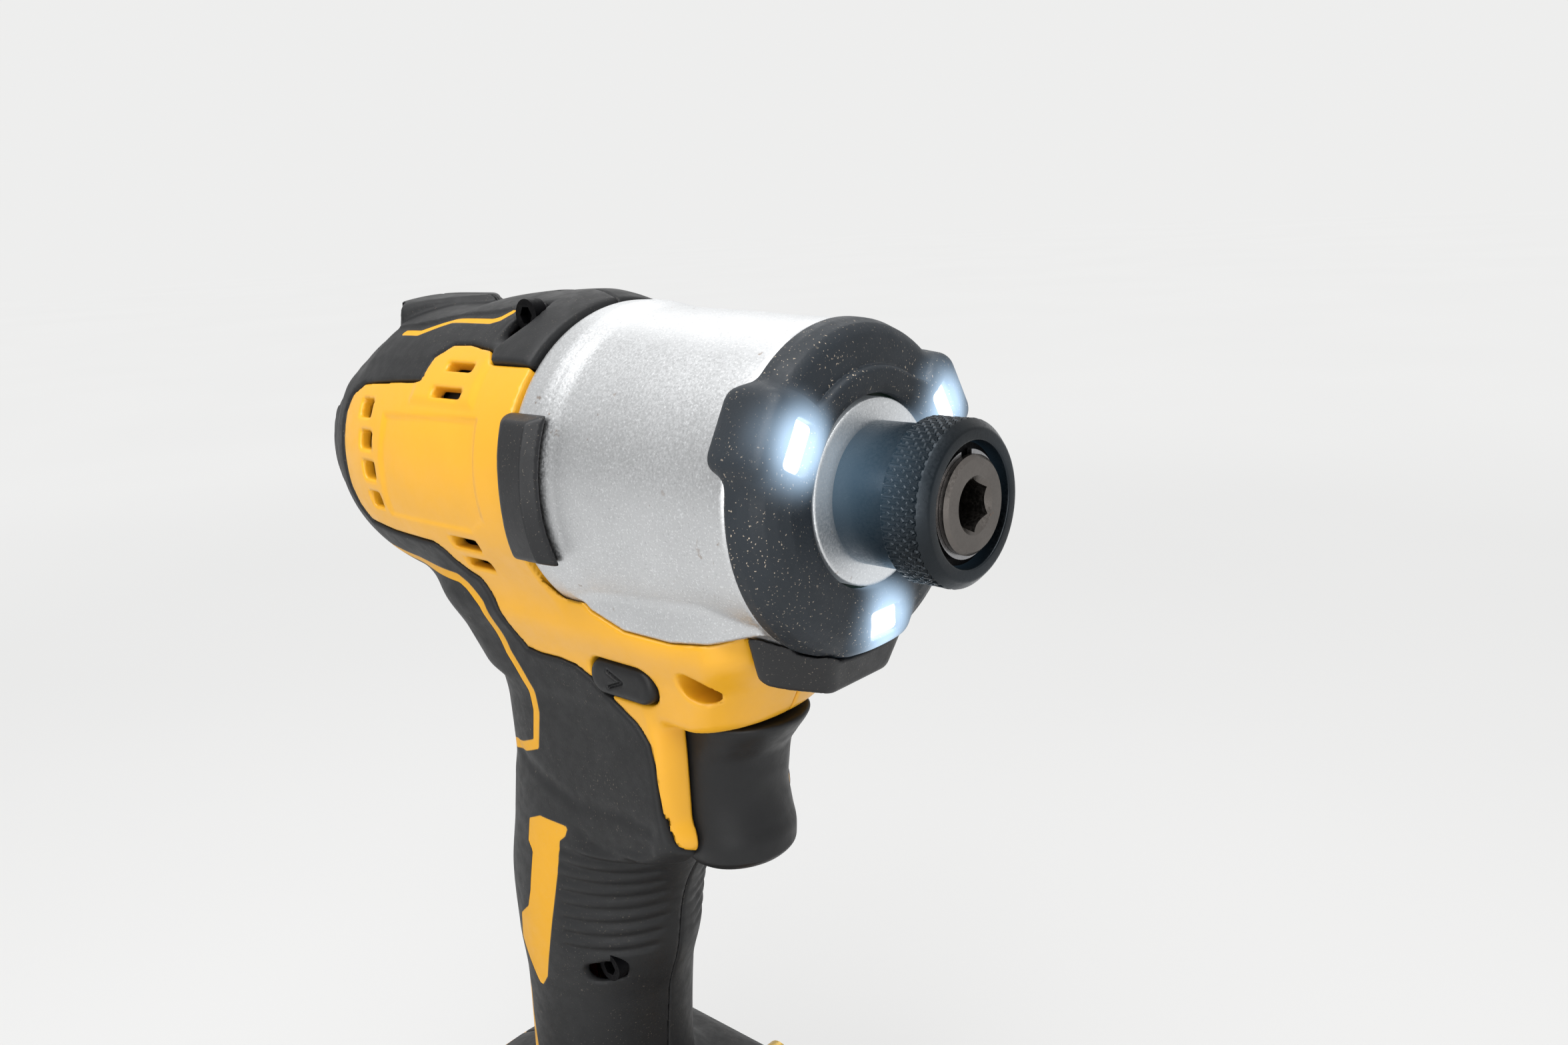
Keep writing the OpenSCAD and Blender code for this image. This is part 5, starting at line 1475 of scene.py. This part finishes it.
# The photograph's camera: place, and angles in degrees
CAMERA_PLACE = (0.1736, -0.1351, DRIVE_Z * MM + 0.0401)
CAMERA_AZIMUTH, CAMERA_RISE, CAMERA_ROLL = 42.36, 14.31, -3.45
# Where the pale sweep stands as polished pieces see it, and the dimmer room on the other side
SWEEP_SIDE = (-0.62, 0.68, 0.39)
# Soft lights: name, size and place, all turned to the same spot on the driver
LIGHTS = (
    ("key", 0.7, (0.15, -0.25, 0.85)),
    ("side", 0.6, (0.45, -0.65, 0.35)),
    ("back", 0.5, (-0.40, 0.45, 0.75)),
)
LIT_SPOT = Vector((0.02, 0, 0.15))


class DRIVER_OT_stage(bpy.types.Operator):
    """Sets the floor, the lights and the camera"""

    bl_idname = "impact_driver.stage"
    bl_label = "Studio"

    def execute(self, context):
        _, _, studio = settings()
        self.floor(studio)
        self.world(studio)
        self.lights(studio)
        self.camera(studio)
        context.scene.view_settings.view_transform = "Standard"
        return {"FINISHED"}

    def floor(self, studio):
        """A pale floor that keeps the shadow near the driver and is plain further out."""
        shape = bmesh.new()
        bmesh.ops.create_grid(shape, x_segments=2, y_segments=2, size=6)
        mesh = bpy.data.meshes.new("studio_floor")
        shape.to_mesh(mesh)
        shape.free()
        floor = bpy.data.objects.new("studio_floor", mesh)
        floor.location.z = CAD_BOX[0].z
        bpy.context.scene.collection.objects.link(floor)
        f = Finish("pale_floor")
        cloud = f.ramp(f.noise(3, 2), 0.3, 0.7)
        tone = f.mix(cloud, shade(studio.floor, 0.99), studio.floor)
        f.set(Base_Color=tone, Roughness=0.8)
        pale = f.node("ShaderNodeEmission", Color=tone, Strength=1.0)
        away = f.vector("DISTANCE", f.place, (0, 0, 0))
        plain = f.times(f.plain_rays(), f.ramp(away, 0.25, 1.1, 0.7, 1.0))
        f.blend(plain, f.shader.outputs["BSDF"], pale.outputs["Emission"])
        mesh.materials.append(f.material)

    def world(self, studio):
        """Even light, seen by the camera as the backdrop and by polished pieces as the sweep."""
        world = bpy.data.worlds.new("studio")
        bpy.context.scene.world = world
        world.use_nodes = True
        w = Nodes(world.node_tree)
        light = w.tree.nodes["Background"]
        w.feed(light.inputs["Color"], (1, 1, 1, 1))
        w.feed(light.inputs["Strength"], studio.fill)
        ray = w.node("ShaderNodeTexCoord").outputs["Generated"]
        toward = w.vector("DOT_PRODUCT", ray, SWEEP_SIDE)
        sweep = w.ramp(toward, -0.5, 0.6, 0.45, 0.95, "LINEAR")
        glossy = w.node("ShaderNodeLightPath").outputs["Is Glossy Ray"]
        level = w.node("ShaderNodeMix", Factor=glossy, A=1.0, B=sweep)
        seen = w.node("ShaderNodeBackground", Color=(*studio.backdrop, 1), Strength=level.outputs["Result"])
        w.blend(w.plain_rays(), light.outputs[0], seen.outputs[0])

    def lights(self, studio):
        for name, size, place in LIGHTS:
            lamp = bpy.data.lights.new(f"{name}_light", "AREA")
            lamp.energy = getattr(studio, name)
            lamp.size = size
            obj = bpy.data.objects.new(f"{name}_light", lamp)
            obj.location = place
            obj.rotation_euler = (LIT_SPOT - Vector(place)).to_track_quat("-Z", "Y").to_euler()
            bpy.context.scene.collection.objects.link(obj)

    def camera(self, studio):
        """The camera where the photograph was taken."""
        a, e, r = (math.radians(d) for d in (CAMERA_AZIMUTH, CAMERA_RISE, CAMERA_ROLL))
        back = Vector((math.sin(a) * math.cos(e), -math.cos(a) * math.cos(e), math.sin(e)))
        right = Vector((math.cos(a), math.sin(a), 0))
        up = back.cross(right)
        right, up = math.cos(r) * right + math.sin(r) * up, math.cos(r) * up - math.sin(r) * right
        data = bpy.data.cameras.new("photo_camera")
        data.lens = studio.lens
        data.sensor_width = 36
        data.sensor_fit = "HORIZONTAL"
        data.clip_start = 0.01
        camera = bpy.data.objects.new("photo_camera", data)
        turn = Matrix((right, up, back)).transposed()
        camera.matrix_world = Matrix.Translation(CAMERA_PLACE) @ turn.to_4x4()
        bpy.context.scene.collection.objects.link(camera)
        bpy.context.scene.camera = camera


BUILD_ORDER = (
    DRIVER_OT_housing,
    DRIVER_OT_overmould,
    DRIVER_OT_gear_case,
    DRIVER_OT_nose,
    DRIVER_OT_collet,
    DRIVER_OT_controls,
    DRIVER_OT_pack,
    DRIVER_OT_inner_finishes,
    DRIVER_OT_stage,
)


class DRIVER_PT_panel(bpy.types.Panel):
    """Lists the steps that dress the driver"""

    bl_idname = "DRIVER_PT_panel"
    bl_label = "Impact driver"
    bl_space_type = "VIEW_3D"
    bl_region_type = "UI"
    bl_category = "Impact driver"

    def draw(self, context):
        for group in settings():
            for name in group.__annotations__:
                self.layout.prop(group, name)
        for step in BUILD_ORDER:
            self.layout.operator(step.bl_idname)


GROUPS = (
    ("driver_sizes", DriverSizes),
    ("driver_colours", DriverColours),
    ("driver_studio", StudioSettings),
)


def register():
    """Adds the settings, the operators and the panel."""
    for name, group in GROUPS:
        bpy.utils.register_class(group)
        setattr(bpy.types.Scene, name, PointerProperty(type=group))
    for cls in (*BUILD_ORDER, DRIVER_PT_panel):
        bpy.utils.register_class(cls)


def unregister():
    """Takes the panel, the operators and the settings away again."""
    for cls in reversed((*BUILD_ORDER, DRIVER_PT_panel)):
        bpy.utils.unregister_class(cls)
    for name, group in reversed(GROUPS):
        delattr(bpy.types.Scene, name)
        bpy.utils.unregister_class(group)


def main():
    """Dresses the driver."""
    register()
    for step in BUILD_ORDER:
        group, name = step.bl_idname.split(".")
        getattr(getattr(bpy.ops, group), name)()


if __name__ == "__main__":
    main()
